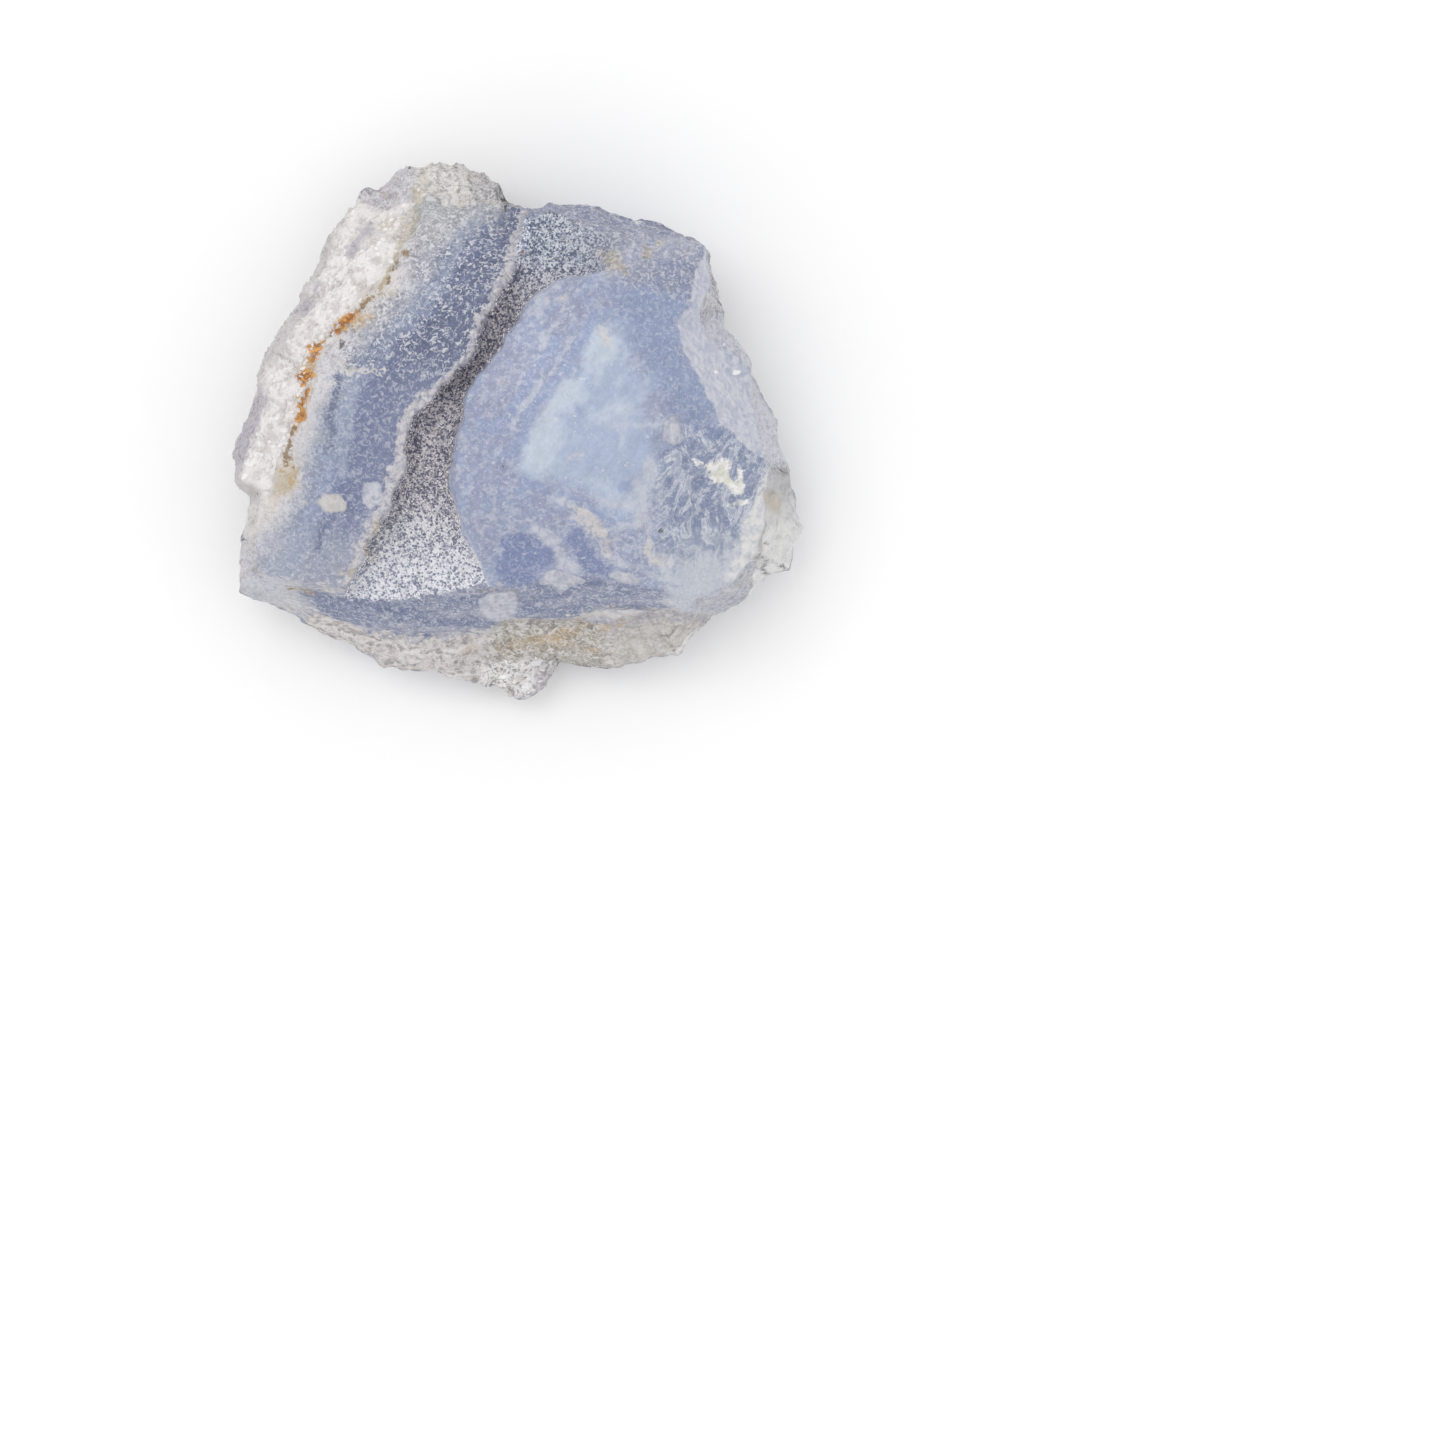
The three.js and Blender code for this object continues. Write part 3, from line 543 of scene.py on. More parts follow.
WISPS = [
    streak(0.3, (1.2, -6.1), (2.2, -6.9), (2.8, -8.2), (3.6, -8.7)),
    streak(0.14, (5.0, -4.1), (6.0, -4.6), (7.2, -4.5), (8.2, -3.9)),
    streak(0.3, (7.7, -3.2), (8.1, -4.4), (7.8, -5.8)), streak(0.2, (5.6, -7.6), (6.8, -8.5)),
    streak(0.14, (2.2, -4.1), (4.2, -5.0)), oval(8.4, -2.6, 0.5, 0.9), oval(9.0, -7.9, 0.6, 0.8),
]
CREAM_PATCHES_AND_PAINTED_LIGHT = [
    area((3.6, -4.9), (4.2, -4.8), (5.0, -5.3), (5.6, -6.1), (6.0, -7.6), (5.6, -7.5), (5.0, -6.4),
         (4.3, -5.8)),
    oval(5.5, 6.0, 0.45, 0.25, -50), oval(3.0, 8.3, 0.3, 0.2), oval(8.3, -7.3, 0.25, 0.5),
    oval(9.0, -8.1, 0.4, 0.25), oval(3.9, -1.5, 0.3, 0.12), oval(-11.9, -9.9, 0.6, 0.22, -8),
    # The last oval is painted light: it lightens the tilted chip on the near face, which the light
    # leaves darker.
    oval(6.2, -11.55, 1.8, 0.25, 5),
]
IVORY_PATCHES = [
    area((11.0, -1.8), (11.9, -2.1), (12.3, -1.8), (13.3, -1.8), (13.6, -2.8), (13.9, -3.0),
         (14.1, -2.2), (14.3, -2.4), (14.2, -3.9), (13.7, -4.1), (13.0, -3.4), (12.4, -3.1),
         (12.1, -2.6), (11.7, -2.3)),
    area((12.6, -4.7), (13.4, -4.5), (14.0, -4.2), (14.4, -4.5), (13.8, -4.8)),
    streak(0.05, (2.8, 14.3), (4.4, 14.0), (5.7, 13.8)), streak(0.02, (6.4, 13.6), (7.7, 13.35)),
]
BLUE_STREAKS = [
    streak(0.3, (2.3, 5.6), (1.3, 4.2), (-0.4, 0.9), (-2.0, 0.0)),
    streak(0.4, (4.8, 7.1), (3.8, 5.2), (2.4, 3.0), (1.4, 1.8), (0.7, 0.6), (-0.3, -1.4)),
    streak(0.25, (1.0, 4.4), (1.8, 4.0)), streak(0.2, (2.0, 5.4), (2.6, 4.6)),
    streak(0.12, (3.9, 1.5), (4.3, 1.0)), streak(0.3, (-2.3, 0.6), (-1.2, -0.2)),
    streak(0.3, (0.4, -3.2), (2.2, -4.1), (4.2, -4.5), (6.0, -6.0)),
    streak(0.3, (6.8, -3.6), (8.8, -2.4), (10.0, -2.2)),
]
PALE_STREAKS = [
    streak(0.14, (5.9, 0.35), (7.2, 0.2), (8.6, 0.5)),
    streak(0.45, (-10.4, 3.2), (-10.8, 0.4), (-11.1, -2.7)),
    streak(0.3, (-12.6, -5.2), (-13.2, -6.8), (-14.2, -8.5)),
    streak(0.25, (-3.3, 13.6), (-4.0, 10.9), (-5.2, 8.8), (-8.4, 6.0)),
    streak(0.12, (1.9, -4.2), (3.6, -4.6), (5.2, -5.6)), streak(0.1, (5.4, -6.2), (7.6, -5.8)),
    streak(0.1, (7.7, -8.6), (8.8, -9.0), (9.8, -9.1)), streak(0.1, (13.8, -5.8), (12.8, -7.6)),
    streak(0.12, (3.4, 7.8), (2.2, 6.4), (-0.2, 2.4)), oval(1.6, 7.9, 0.9, 0.45, 50),
    streak(0.12, (3.6, 6.0), (2.2, 3.7), (0.6, 1.6), (-0.4, 0.4)),
]
DARK_STREAKS = [
    streak(0.2, (-11.3, 3.2), (-11.7, 0.8), (-11.9, -1.2)),
    streak(0.2, (-12.2, -5.6), (-12.8, -7.4)), streak(0.5, (-2.6, 8.4), (-3.8, 6.8), (-5.0, 5.6)),
]
LILAC = [
    streak(0.4, (-9.8, 13.2), (-10.8, 11.6)), streak(0.2, (-12.9, 9.6), (-13.9, 7.8)),
    streak(0.4, (-16.4, 2.4), (-17.5, -0.4), (-17.9, -2.5)),
]
CROSS_LUMPS = [streak(0.45, (-11.3, 4.2), (-10.4, 3.7), (-8.6, 3.8))]
CRACKS = [
    streak(0.06, (-15.5, 5.3), (-14.5, 4.5), (-13.6, 4.1)), streak(0.05, (-12.0, 9.9), (-11.4, 9.3)),
    streak(0.04, (16.0, -2.6), (15.8, -3.8), (15.6, -5.4)),
    streak(0.12, (15.6, -5.6), (15.4, -6.4), (15.3, -7.0), (15.3, -7.9)),
    streak(0.05, (-1.2, -13.7), (0.0, -14.1)),
    streak(0.06, (8.15, 11.0), (8.15, 11.7)), streak(0.05, (-2.6, -10.1), (-0.1, -10.0), (0.4, -10.7)),
    streak(0.05, (4.2, -11.35), (5.4, -11.0), (7.4, -10.95), (8.6, -11.3)),
]
TAN_PATCHES = [
    oval(-7.0, 11.3, 0.2, 0.14), oval(-8.1, 8.7, 0.2, 0.14), oval(8.3, 11.4, 0.3, 0.45),
    oval(6.3, 10.5, 0.9, 0.4, -30),
    oval(9.2, 12.0, 0.2, 0.2), oval(-2.9, -13.9, 0.3, 0.2), oval(-6.3, 15.4, 0.5, 0.35),
    oval(-8.1, 13.6, 0.9, 0.5), oval(-14.2, -10.0, 0.4, 0.14), oval(-13.3, -10.2, 0.3, 0.14),
    oval(-10.7, -8.8, 0.3, 0.2), oval(-9.4, -7.6, 0.25, 0.6), oval(-8.7, -6.2, 0.25, 0.5),
    area((-15.0, -2.2), (-14.1, -2.2), (-13.9, -3.2), (-14.3, -4.0), (-15.1, -3.8)),
    oval(16.1, -4.4, 0.35, 0.7, 10), oval(1.2, -13.4, 2.4, 0.45, 8),
]
RUST = [
    streak(0.3, (-10.45, 7.3), (-10.9, 6.85), (-11.3, 6.4)), oval(0.4, 11.4, 0.08, 0.14),
    streak(0.17, (-12.25, 6.0), (-12.45, 5.5), (-12.75, 5.0), (-12.85, 4.6)),
    streak(0.14, (-12.45, 5.5), (-13.1, 5.45)), oval(-13.4, 3.5, 0.56, 0.36, 50),
    streak(0.18, (-13.6, 2.9), (-13.5, 2.4), (-13.65, 2.0), (-13.7, 1.3)),
    oval(-13.7, 0.9, 0.38, 0.3, 60),
]
GOLD = [
    oval(-10.1, 6.95, 0.85, 0.4, 30), oval(-13.0, 4.4, 0.35, 0.4), oval(-13.2, 3.8, 0.6, 0.45, 50),
    streak(0.16, (-13.8, 0.6), (-14.1, -0.1)), streak(0.2, (-13.5, 2.9), (-13.6, 1.2)),
    oval(-14.4, -3.1, 0.35, 0.16, -50),
    oval(2.4, -13.0, 0.7, 0.1, 16), oval(6.2, -12.3, 0.35, 0.08, 30), oval(5.0, -14.0, 0.25, 0.12),
]
THREADS = [
    streak(0.09, (-9.3, 8.4), (-9.8, 7.9), (-10.3, 7.5)), streak(0.08, (-11.4, 6.5), (-12.2, 6.0)),
    oval(-13.2, -10.15, 0.24, 0.14), oval(-14.4, -9.9, 0.3, 0.12, -10),
    oval(-7.0, 11.2, 0.24, 0.16), oval(-7.6, 10.6, 0.2, 0.12, 60), oval(-8.2, 9.6, 0.24, 0.12, 50),
    streak(0.09, (-14.0, 0.2), (-14.15, -0.4), (-14.4, -1.05), (-14.5, -1.7), (-14.7, -2.3)),
]
DARK_SPOTS = [
    oval(9.04, -6.3, 0.18, 0.18), area((-11.2, 5.95), (-10.8, 5.6), (-11.35, 5.0)),
    oval(11.8, -11.6, 0.12, 0.1), oval(15.6, -7.0, 0.1, 0.1), oval(16.6, -2.6, 0.08, 0.08),
    oval(-0.9, -2.3, 0.08, 0.12),
]
GLINTS = [
    oval(-16.7, -1.5, 0.22, 0.2), oval(-16.6, -0.7, 0.16, 0.14), oval(-17.1, -2.1, 0.18, 0.15),
    oval(-17.2, -2.8, 0.15, 0.14), oval(13.75, 3.7, 0.24, 0.14), oval(12.7, 3.7, 0.1, 0.05),
    oval(12.6, 5.5, 0.3, 0.05), oval(0.6, -16.1, 0.5, 0.14, 20), oval(-0.8, -15.6, 0.4, 0.12),
]
MARKS = {
    "chip": CHIPS, "milk": MILK, "milk_bright": MILK_BRIGHT, "deep": DEEP,
    "indigo": INDIGO_PATCHES, "wisp": WISPS, "cream": CREAM_PATCHES_AND_PAINTED_LIGHT, "ivory": IVORY_PATCHES,
    "blue_streak": BLUE_STREAKS, "pale_streak": PALE_STREAKS, "dark_streak": DARK_STREAKS,
    "lilac": LILAC, "cross_lumps": CROSS_LUMPS, "crack": CRACKS, "tan": TAN_PATCHES, "rust": RUST,
    "gold": GOLD, "thread": THREADS, "dark_spot": DARK_SPOTS, "glint": GLINTS,
}
FAR_OUTSIDE = -3.0

LAYER_TILT, LAYER_LEVEL = 0.3, 13.0  # how the bands lean with height
SEAM_FADE = 1.8  # how much of the bands next to the seam is missing at the near end

# Stain of the seam, from the near end to the far one: Y, half width and strength.
STAIN = [
    (-5.2, 0.1, 0.2), (-3.6, 0.3, 0.4), (-2.4, 0.2, 0.4), (-1.4, 0.06, 0.0), (7.6, 0.1, 0.0),
    (8.2, 0.16, 0.7), (9.0, 0.16, 0.8), (11.5, 0.22, 0.5), (13.5, 0.26, 0.45), (15.0, 0.2, 0.4),
]

# How wide the pale band along the lip is, from the near end: Y and width.
LIP_WIDTHS = [
    (-9.5, 0.5), (-6.5, 0.9), (-5.0, 0.65), (-3.8, 0.5), (-2.5, 0.95), (0.0, 0.9), (1.5, 0.7),
    (2.6, 0.6), (3.6, 0.4), (8.0, 0.45), (9.0, 0.6),
]

# How wide the pale sliver inside the right ridge is, from the near end: Y and width.
RIDGE_WIDTHS = [(-11.0, 0.9), (-8.8, 1.6), (-5.9, 1.4), (-4.2, 0.6), (-2.3, 0.3)]
RIND_SET_BACK = 0.25  # how far past the fold the blue band runs on to the left
LOBE_SOFTNESS = 9.0  # how much wider the far edge of the lobe is where it is a soft one
LIP_STEP, LIP_STEP_DEPTH = 0.75, 0.3  # length of the lip's steps, and how far they jump


def stepped_lip(x, y):
    """Distance past the lip, whose line jumps a little from step to step."""
    step = np.floor(y / LIP_STEP)
    return distance_to(LIP, x, y) + LIP_STEP_DEPTH * (lattice_value(step, step, step) - 0.5)


def softened_lobe(x, y):
    """Distance inside the lobe, drawn together where its edge is a soft one."""
    return distance_to(LOBE_EDGE, x, y) / (1.0 + LOBE_SOFTNESS * zone(SOFT_LOBE, x, y))


def depth_in_marks(marks, x, y):
    return np.maximum.reduce([mark(x, y) for mark in marks] + [np.full(len(x), FAR_OUTSIDE)])


def fields_at(x, y, z, is_top, near_gap, wall_gap):
    """What the material reads: distances in mm and a few soft shares."""
    past_seam = distance_to(SEAM, x, y)
    past_fold = distance_to(FOLD, x, y)
    missing = SEAM_FADE * sum(part * zone(ramps, x, y) for part, ramps in SEAM_MISSING)
    above_knob = y + KNOB_SLANT * np.maximum(x - KNOB_START, 0.0)
    above_corner = y + CORNER_SLANT * (x - CORNER_START)
    places, widths, strengths = zip(*STAIN)
    return {
        "top": is_top,
        "near_gap": near_gap,
        "wall_gap": wall_gap,
        "layer": past_seam + LAYER_TILT * (z - LAYER_LEVEL) + missing,
        "lip": stepped_lip(x, y),
        "lip_width": np.interp(y, *zip(*LIP_WIDTHS)),
        "lobe_edge": softened_lobe(x, y),
        "facet_edge": distance_to(RIGHT_BREAK, x, y),
        "ridge": distance_to(RIGHT_RIDGE, x, y),
        "ridge_width": np.interp(y, *zip(*RIDGE_WIDTHS)),
        "fold": past_fold,
        "rind_edge": past_fold - RIND_SET_BACK * zone(RIND_BEHIND, x, y),
        "crust_edge": np.minimum(-past_seam, y - CRUST_FROM),
        "knob_edge": np.minimum(y - KNOB_FROM, KNOB_TO - x),
        "knob": ramp(KNOB_ABOVE, above_knob) * ramp(KNOB_WIDTH, x),
        "far_corner": ramp(CORNER_WIDTH, x) * ramp(CORNER_ABOVE, above_corner),
        "trough_light": np.maximum(*(part * zone(ramps, x, y) for part, ramps in TROUGH_LIGHT)),
        "stain": np.interp(y, places, widths) - np.abs(past_seam),
        "stain_strength": np.interp(y, places, strengths),
        **{name: zone(ramps, x, y) for name, ramps in ZONES.items()},
        **{name: depth_in_marks(marks, x, y) for name, marks in MARKS.items()},
    }


# Mesh of the stone


def geodesic_sphere():
    """Points and triangles of an icosahedron whose faces are cut finely and blown up round."""
    base = bmesh.new()
    bmesh.ops.create_icosphere(base, subdivisions=1, radius=1.0)
    faces = [[np.array(vert.co) for vert in face.verts] for face in base.faces]
    base.free()
    rows = [(i, j) for i in range(SEGMENTS + 1) for j in range(SEGMENTS + 1 - i)]
    number = {place: n for n, place in enumerate(rows)}
    steps = np.array(rows) / SEGMENTS
    triangles = []
    for i, j in rows:
        if i + j < SEGMENTS:
            triangles.append((number[i, j], number[i + 1, j], number[i, j + 1]))
        if i + j < SEGMENTS - 1:
            triangles.append((number[i + 1, j], number[i + 1, j + 1], number[i, j + 1]))
    triangles = np.array(triangles)
    points, skin = [], []
    for n, (a, b, c) in enumerate(faces):
        points.append(a + steps[:, :1] * (b - a) + steps[:, 1:] * (c - a))
        skin.append(triangles + n * len(rows))
    points = np.vstack(points)
    points /= np.linalg.norm(points, axis=1)[:, None]
    _, first, merged = np.unique(
        np.round(points, 6), axis=0, return_index=True, return_inverse=True)
    return points[first], merged.reshape(-1)[np.vstack(skin)]


def vertex_normals(points, triangles):
    a, b, c = (points[triangles[:, corner]] for corner in range(3))
    faces = np.cross(b - a, c - a)
    normals = np.zeros_like(points)
    for corner in range(3):
        for axis in range(3):
            normals[:, axis] += np.bincount(
                triangles[:, corner], weights=faces[:, axis], minlength=len(points))
    return normals / np.maximum(np.linalg.norm(normals, axis=1), 1e-12)[:, None]


def rough_share(x, y, is_top, inset):
    crust = ramp(CRUST_ROUGH, -distance_to(SEAM, x, y))
    rind = ramp(RIND_ROUGH, distance_to(FOLD, x, y))
    rough = np.maximum.reduce([crust, rind, zone(ROUGH_KNOB, x, y), ramp(RIM_ROUGH, inset)])
    return np.where(is_top, rough, 1.0)


def main_relief(points, is_top, inset):
    x, y, _ = points.T
    share = rough_share(x, y, is_top, inset)
    relief = blend(SMOOTH_DEPTH, ROUGH_DEPTH, share) * octaves(points)
    relief += share * CHIP_DEPTH * (cells(points, CHIP_WIDTH) - 1.0 + CHIP_MIDDLE)
    hackles = zone(HACKLED, x, y) * is_top
    return relief + HACKLE_DEPTH * hackles * ridges(points, HACKLE_WAVELENGTH)


def grain_relief(points, grains):
    """Rounded grains that stand up from the surface, with sharp gaps between them."""
    width, depth = grains
    return depth * (0.5 - cells(points, width))


def fine_relief(points, field):
    """Grains, terraces, ripples and chips, by the kind of surface."""
    top = field["top"]
    near = ramp(NEAR_EDGE, field["near_gap"]) * top
    wall = ramp(WALL_EDGE, field["wall_gap"])
    open_top = top * (1.0 - wall) * (1.0 - near)
    crust = ramp(CRUST_EDGE, np.maximum(field["crust_edge"], field["knob_edge"])) * top
    crust *= ramp(CRUST_END, points[:, 1])
    in_lobe = ramp(IN_LOBE, field["lobe_edge"])
    trough = ramp(PAST_LIP, field["lip"]) * open_top * (1.0 - in_lobe)
    on_rind = ramp(PAST_FOLD, field["fold"]) * near
    in_lobe = in_lobe * open_top
    bench = open_top * (1.0 - trough) * (1.0 - in_lobe) * (1.0 - crust)
    grains = crust * grain_relief(points, CRUST_GRAINS)
    grains += np.maximum(on_rind, 1.0 - top) * (1.0 - crust) * grain_relief(points, RIND_GRAINS)
    grains += trough * grain_relief(points, TROUGH_GRAINS)
    grains += bench * field["speckle"] * grain_relief(points, BENCH_GRAINS)
    chips = CHIP_SCAR_DEPTH * ramp(IN_CHIP, field["chip"]) * top
    relief = hackle_relief(points, field) * in_lobe + layer_relief(points, field) * on_rind
    relief += ripple_relief(points) * in_lobe
    width, depth = RIM_CRINKLES
    relief += np.maximum(wall, 1.0 - top) * depth * ridges(points, width)
    sandy = ramp(SAND_EDGE, field["lip"]) * ramp(SAND_COVER, open_top * (1.0 - in_lobe))
    sandy *= 1.0 - ramp(SAND_FADE, field["trough_fade"])
    sugary = crust * (1.0 - DRUSE_THINNED * ramp(DRUSE_END, points[:, 1]))
    sugary = np.maximum(sugary, TONGUE_DRUSE * field["tongue"])
    # The last share is how deep a point lies between grains, for the painted shade in those gaps.
    shares = {"sandy": sandy, "sugary": sugary, "hollow": -grains / GRAIN_FULL}
    return relief + grains - chips, shares


def hackle_relief(points, field):
    """Small torn ridges of the hackly slope, drawn out along Y."""
    width, depth = FINE_HACKLES
    share = field["hackly"] * (1.0 - SMOOTHED_HACKLES * field["smooth_corner"])
    return share * depth * ridges(points * np.array(HACKLE_STRETCH), width)


def layer_relief(points, field):
    """Terraces of the rind's layers, which run along the fold."""
    width, depth = RIND_LAYERS
    wavelength, stray = LAYER_STRAY
    place = field["fold"] / width + stray * noise(points, wavelength)
    return depth * (2.0 * np.abs(np.mod(place, 1.0) - 0.5) - 0.5)


def ripple_relief(points):
    """Faint rings of the conchoidal break around its starting point."""
    width, depth = RIPPLES
    across, along = RIPPLE_MIDDLE
    wavelength, stray = RIPPLE_STRAY
    rings = np.hypot(points[:, 0] - across, points[:, 1] - along) + stray * noise(points, wavelength)
    return depth * np.sin(math.tau * rings / width) * ramp(RIPPLE_REACH, points[:, 0])


def outwards(points, normals, inset):
    """The way that the relief moves each point: away from the stone's middle at the rim, where
    the surface turns sharply, and square to the surface elsewhere."""
    rays = points - np.array(MIDDLE)
    rays /= np.linalg.norm(rays, axis=1)[:, None]
    mixed = blend(rays, normals, ramp(RIM_TURN, inset)[:, None])
    return mixed / np.linalg.norm(mixed, axis=1)[:, None]


def stone_surface():
    """Points in mm, triangles and fields of the finished stone."""
    sphere, triangles = geodesic_sphere()
    is_top = sphere[:, 2] > SPLIT
    reach = np.where(is_top, 1.0 - SPLIT, 1.0 + SPLIT)
    lift = np.minimum(np.abs(sphere[:, 2] - SPLIT) / reach, 1.0)
    angle = np.arctan2(sphere[:, 1], sphere[:, 0])
    radius = outline_radius(angle) * np.sqrt(1.0 - lift * lift)
    x, y = radius * np.cos(angle), radius * np.sin(angle)
    inset = np.abs(distance_to(OUTLINE + OUTLINE[:1], x, y))
    side = side_at(angle)
    wx, wy = wandered(*as_seen(x, y))
    upper, front = upper_height(wx, wy), front_height(wx, wy)
    open_top = soft_min(upper, front, ROUND_FRONT)
    wall = side[0] + side[1] * (1.0 - np.exp(-inset / BAND_WIDTH)) + side[2] * inset
    top = soft_min(open_top, wall, np.clip(inset, 1e-6, ROUND_RIM))
    z = np.where(is_top, top, underside_height(x, y, inset, side))
    plain = np.column_stack([x, y, z])
    normals = vertex_normals(plain, triangles)
    field = fields_at(wx, wy, z, is_top.astype(float), upper - front, open_top - wall)
    fine, shares = fine_relief(plain, field)
    field.update(shares)
    relief = main_relief(plain, is_top, inset) + fine
    off_base = ramp(BASE_EDGE, z)
    points = plain + outwards(plain, normals, inset) * (relief * off_base)[:, None]
    points[:, 2] = np.where(z <= 0.0, 0.0, np.maximum(points[:, 2], 0.0))
    return points, triangles, field


def fitted_to_frame(points):
    """The points in metres, moved so that their box stands on the middle of the solid's box."""
    low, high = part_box("agate")
    middle = (np.array(low) + np.array(high)) / 2.0
    own = (points.min(axis=0) + points.max(axis=0)) / 2.0 * MM
    return points * MM + np.array([middle[0] - own[0], middle[1] - own[1], low[2]])


def mesh_of(name, points, triangles):
    mesh = bpy.data.meshes.new(name)
    mesh.vertices.add(len(points))
    mesh.vertices.foreach_set("co", points.astype(np.float32).ravel())
    mesh.loops.add(triangles.size)
    mesh.loops.foreach_set("vertex_index", triangles.astype(np.int32).ravel())
    mesh.polygons.add(len(triangles))
    mesh.polygons.foreach_set("loop_start", np.arange(0, triangles.size, 3, dtype=np.int32))
    mesh.update(calc_edges=True)
    mesh.validate()
    return mesh


def shown(name, mesh):
    piece = bpy.data.objects.new(name, mesh)
    bpy.context.scene.collection.objects.link(piece)
    return piece


def add_node(tree, kind, settings, inputs, output=0):
    """One output of a new node: its settings are made first, then its inputs, as values or links."""
    made = tree.nodes.new(kind)
    for key, value in settings.items():
        if key == "stops":
            set_stops(made.color_ramp, value)
        else:
            setattr(made, key, value)
    for key, value in inputs.items():
        if isinstance(value, bpy.types.NodeSocket):
            tree.links.new(value, made.inputs[key])
        else:
            made.inputs[key].default_value = value
    return made.outputs[output]


def set_stops(color_ramp, stops):
    """Gives a colour ramp its stops."""
    while len(color_ramp.elements) < len(stops):
        color_ramp.elements.new(1.0)
    for element, (place, value) in zip(color_ramp.elements, stops):
        element.position = place
        element.color = value


def scatter_tree(name, share_name, material):
    """Nodes that scatter small faceted grains over a surface, as thickly as an attribute says."""
    tree = bpy.data.node_groups.new(name, "GeometryNodeTree")
    sockets = {}
    for label, kind in SCATTER_INPUTS.items():
        sockets[label] = tree.interface.new_socket(name=label, in_out="INPUT", socket_type=kind)
    tree.interface.new_socket(name="Geometry", in_out="OUTPUT", socket_type="NodeSocketGeometry")
    given = tree.nodes.new("NodeGroupInput").outputs

    def random(kind, low, high, seed):
        first = 2 if kind == "FLOAT" else 0
        return add_node(tree, "FunctionNodeRandomValue", {"data_type": kind},
                        {first: low, first + 1: high, "Seed": seed}, first // 2)

    share = add_node(tree, "GeometryNodeInputNamedAttribute", {"data_type": "FLOAT"},
                     {"Name": share_name})
    spots = add_node(tree, "GeometryNodeDistributePointsOnFaces", {"distribute_method": "POISSON"},
                     {"Mesh": given["Geometry"], "Seed": given["Seed"],
                      "Distance Min": given["Spacing"], "Density Factor": share,
                      "Density Max": DENSEST})
    upwards = add_node(tree, "ShaderNodeVectorMath", {"operation": "SCALE"},
                       {0: spots.node.outputs["Normal"], "Scale": given["Lift"]})
    lifted = add_node(tree, "GeometryNodeSetPosition", {}, {"Geometry": spots, "Offset": upwards})
    shaded = add_node(tree, "GeometryNodeStoreNamedAttribute",
                      {"data_type": "FLOAT", "domain": "POINT"},
                      {"Geometry": lifted, "Name": "shade", "Value": random("FLOAT", 0.0, 1.0, 1)})
    turn = random("FLOAT_VECTOR", (0.0, 0.0, 0.0), (math.tau, math.tau, math.tau), 2)
    size = random("FLOAT_VECTOR", given["Smallest"], given["Largest"], 3)
    grain = add_node(tree, "GeometryNodeMeshIcoSphere", {}, {"Radius": 1.0, "Subdivisions": 1})
    placed = add_node(tree, "GeometryNodeInstanceOnPoints", {},
                      {"Points": shaded, "Instance": grain, "Rotation": turn, "Scale": size})
    joined = add_node(tree, "GeometryNodeRealizeInstances", {}, {"Geometry": placed})
    painted = add_node(tree, "GeometryNodeSetMaterial", {},
                       {"Geometry": joined, "Material": material})
    tree.links.new(painted, tree.nodes.new("NodeGroupOutput").inputs["Geometry"])
    return tree, sockets


def scattered(name, stone, share_name, material, sizes):
    """One plain mesh of grains scattered over the stone."""
    tree, sockets = scatter_tree(name, share_name, material)
    carrier = shown(name + "_carrier", stone.data)
    modifier = carrier.modifiers.new(name, "NODES")
    modifier.node_group = tree
    for label, value in sizes.items():
        modifier[sockets[label].identifier] = value if label == "Seed" else value * MM
    evaluated = carrier.evaluated_get(bpy.context.evaluated_depsgraph_get())
    mesh = bpy.data.meshes.new_from_object(evaluated)
    carrier.modifiers.clear()
    bpy.data.objects.remove(carrier)
    mesh.name = name
    return shown(name, mesh)


def stone_piece():
    points, triangles, field = stone_surface()
    mesh = mesh_of("agate_stone", fitted_to_frame(points), triangles)
    for name, values in field.items():
        layer = mesh.attributes.new(name, "FLOAT", "POINT")
        layer.data.foreach_set("value", values.astype(np.float32))
    mesh.polygons.foreach_set("use_smooth", np.ones(len(triangles), dtype=bool))
    return shown("agate_stone", mesh)


# Materials

LIGHT = 1.05  # how bright the scene's light makes a white level surface
SHEEN = 0.03  # what the surface's gloss adds to every colour

# Widths in mm of the noises that the materials share, and of the smallest speck in any of them.
GRAIN, FLECK, MOTTLE, CLOUD, DRIFT = 0.3, 0.32, 0.6, 1.2, 2.4
FINEST = 0.1
DETAIL_ROUGHNESS = 0.7  # how much of every noise is its finer detail
CRUMB, CRUMB_EDGE = 0.9, (0.2, 0.08)  # how far apart the crust's flecks lie, and their edge
SLANT = {"stretch": 1.8, "turn": 56}  # how the lobe's clouds and veins are drawn out
CRINKLES = {"width": 0.9, "stretch": 2.2, "turn": -8}  # lines on the rind and the right rim


def colour(red, green, blue):
    """A colour as it looks in the picture, from 0 to 255, as the renderer's own values."""
    shares = np.array([red, green, blue]) / 255.0
    linear = np.where(shares <= 0.04045, shares / 12.92, ((shares + 0.055) / 1.055) ** 2.4)
    return (*(float(value) for value in np.maximum(linear / LIGHT - SHEEN, 0.0)), 1.0)


WHITE = colour(246, 245, 245)
CRUST_WHITE = colour(235, 232, 231)
CRUST_CREAM = colour(214, 208, 206)
CRUST_LILAC = colour(184, 180, 189)
CRUST_SIDE = colour(194, 189, 191)
CRUST_FLECK = colour(186, 174, 158)
SPECK_PALE = colour(216, 215, 218)
SPECK_WHITE = colour(222, 223, 226)
BENCH_DEEP = colour(106, 112, 137)
BENCH_LILAC = colour(176, 179, 192)
STREAK_GREY = colour(112, 120, 146)
STREAK_LIGHT = colour(157, 166, 186)
SHADE_GREY = colour(170, 172, 178)
NECK_DARK = colour(110, 111, 131)
NECK_PALE = colour(230, 225, 226)
NEAR_DARK = colour(134, 139, 161)
NEAR_PALE = colour(238, 239, 243)
FAR_GRAIN_DARK = colour(101, 110, 134)
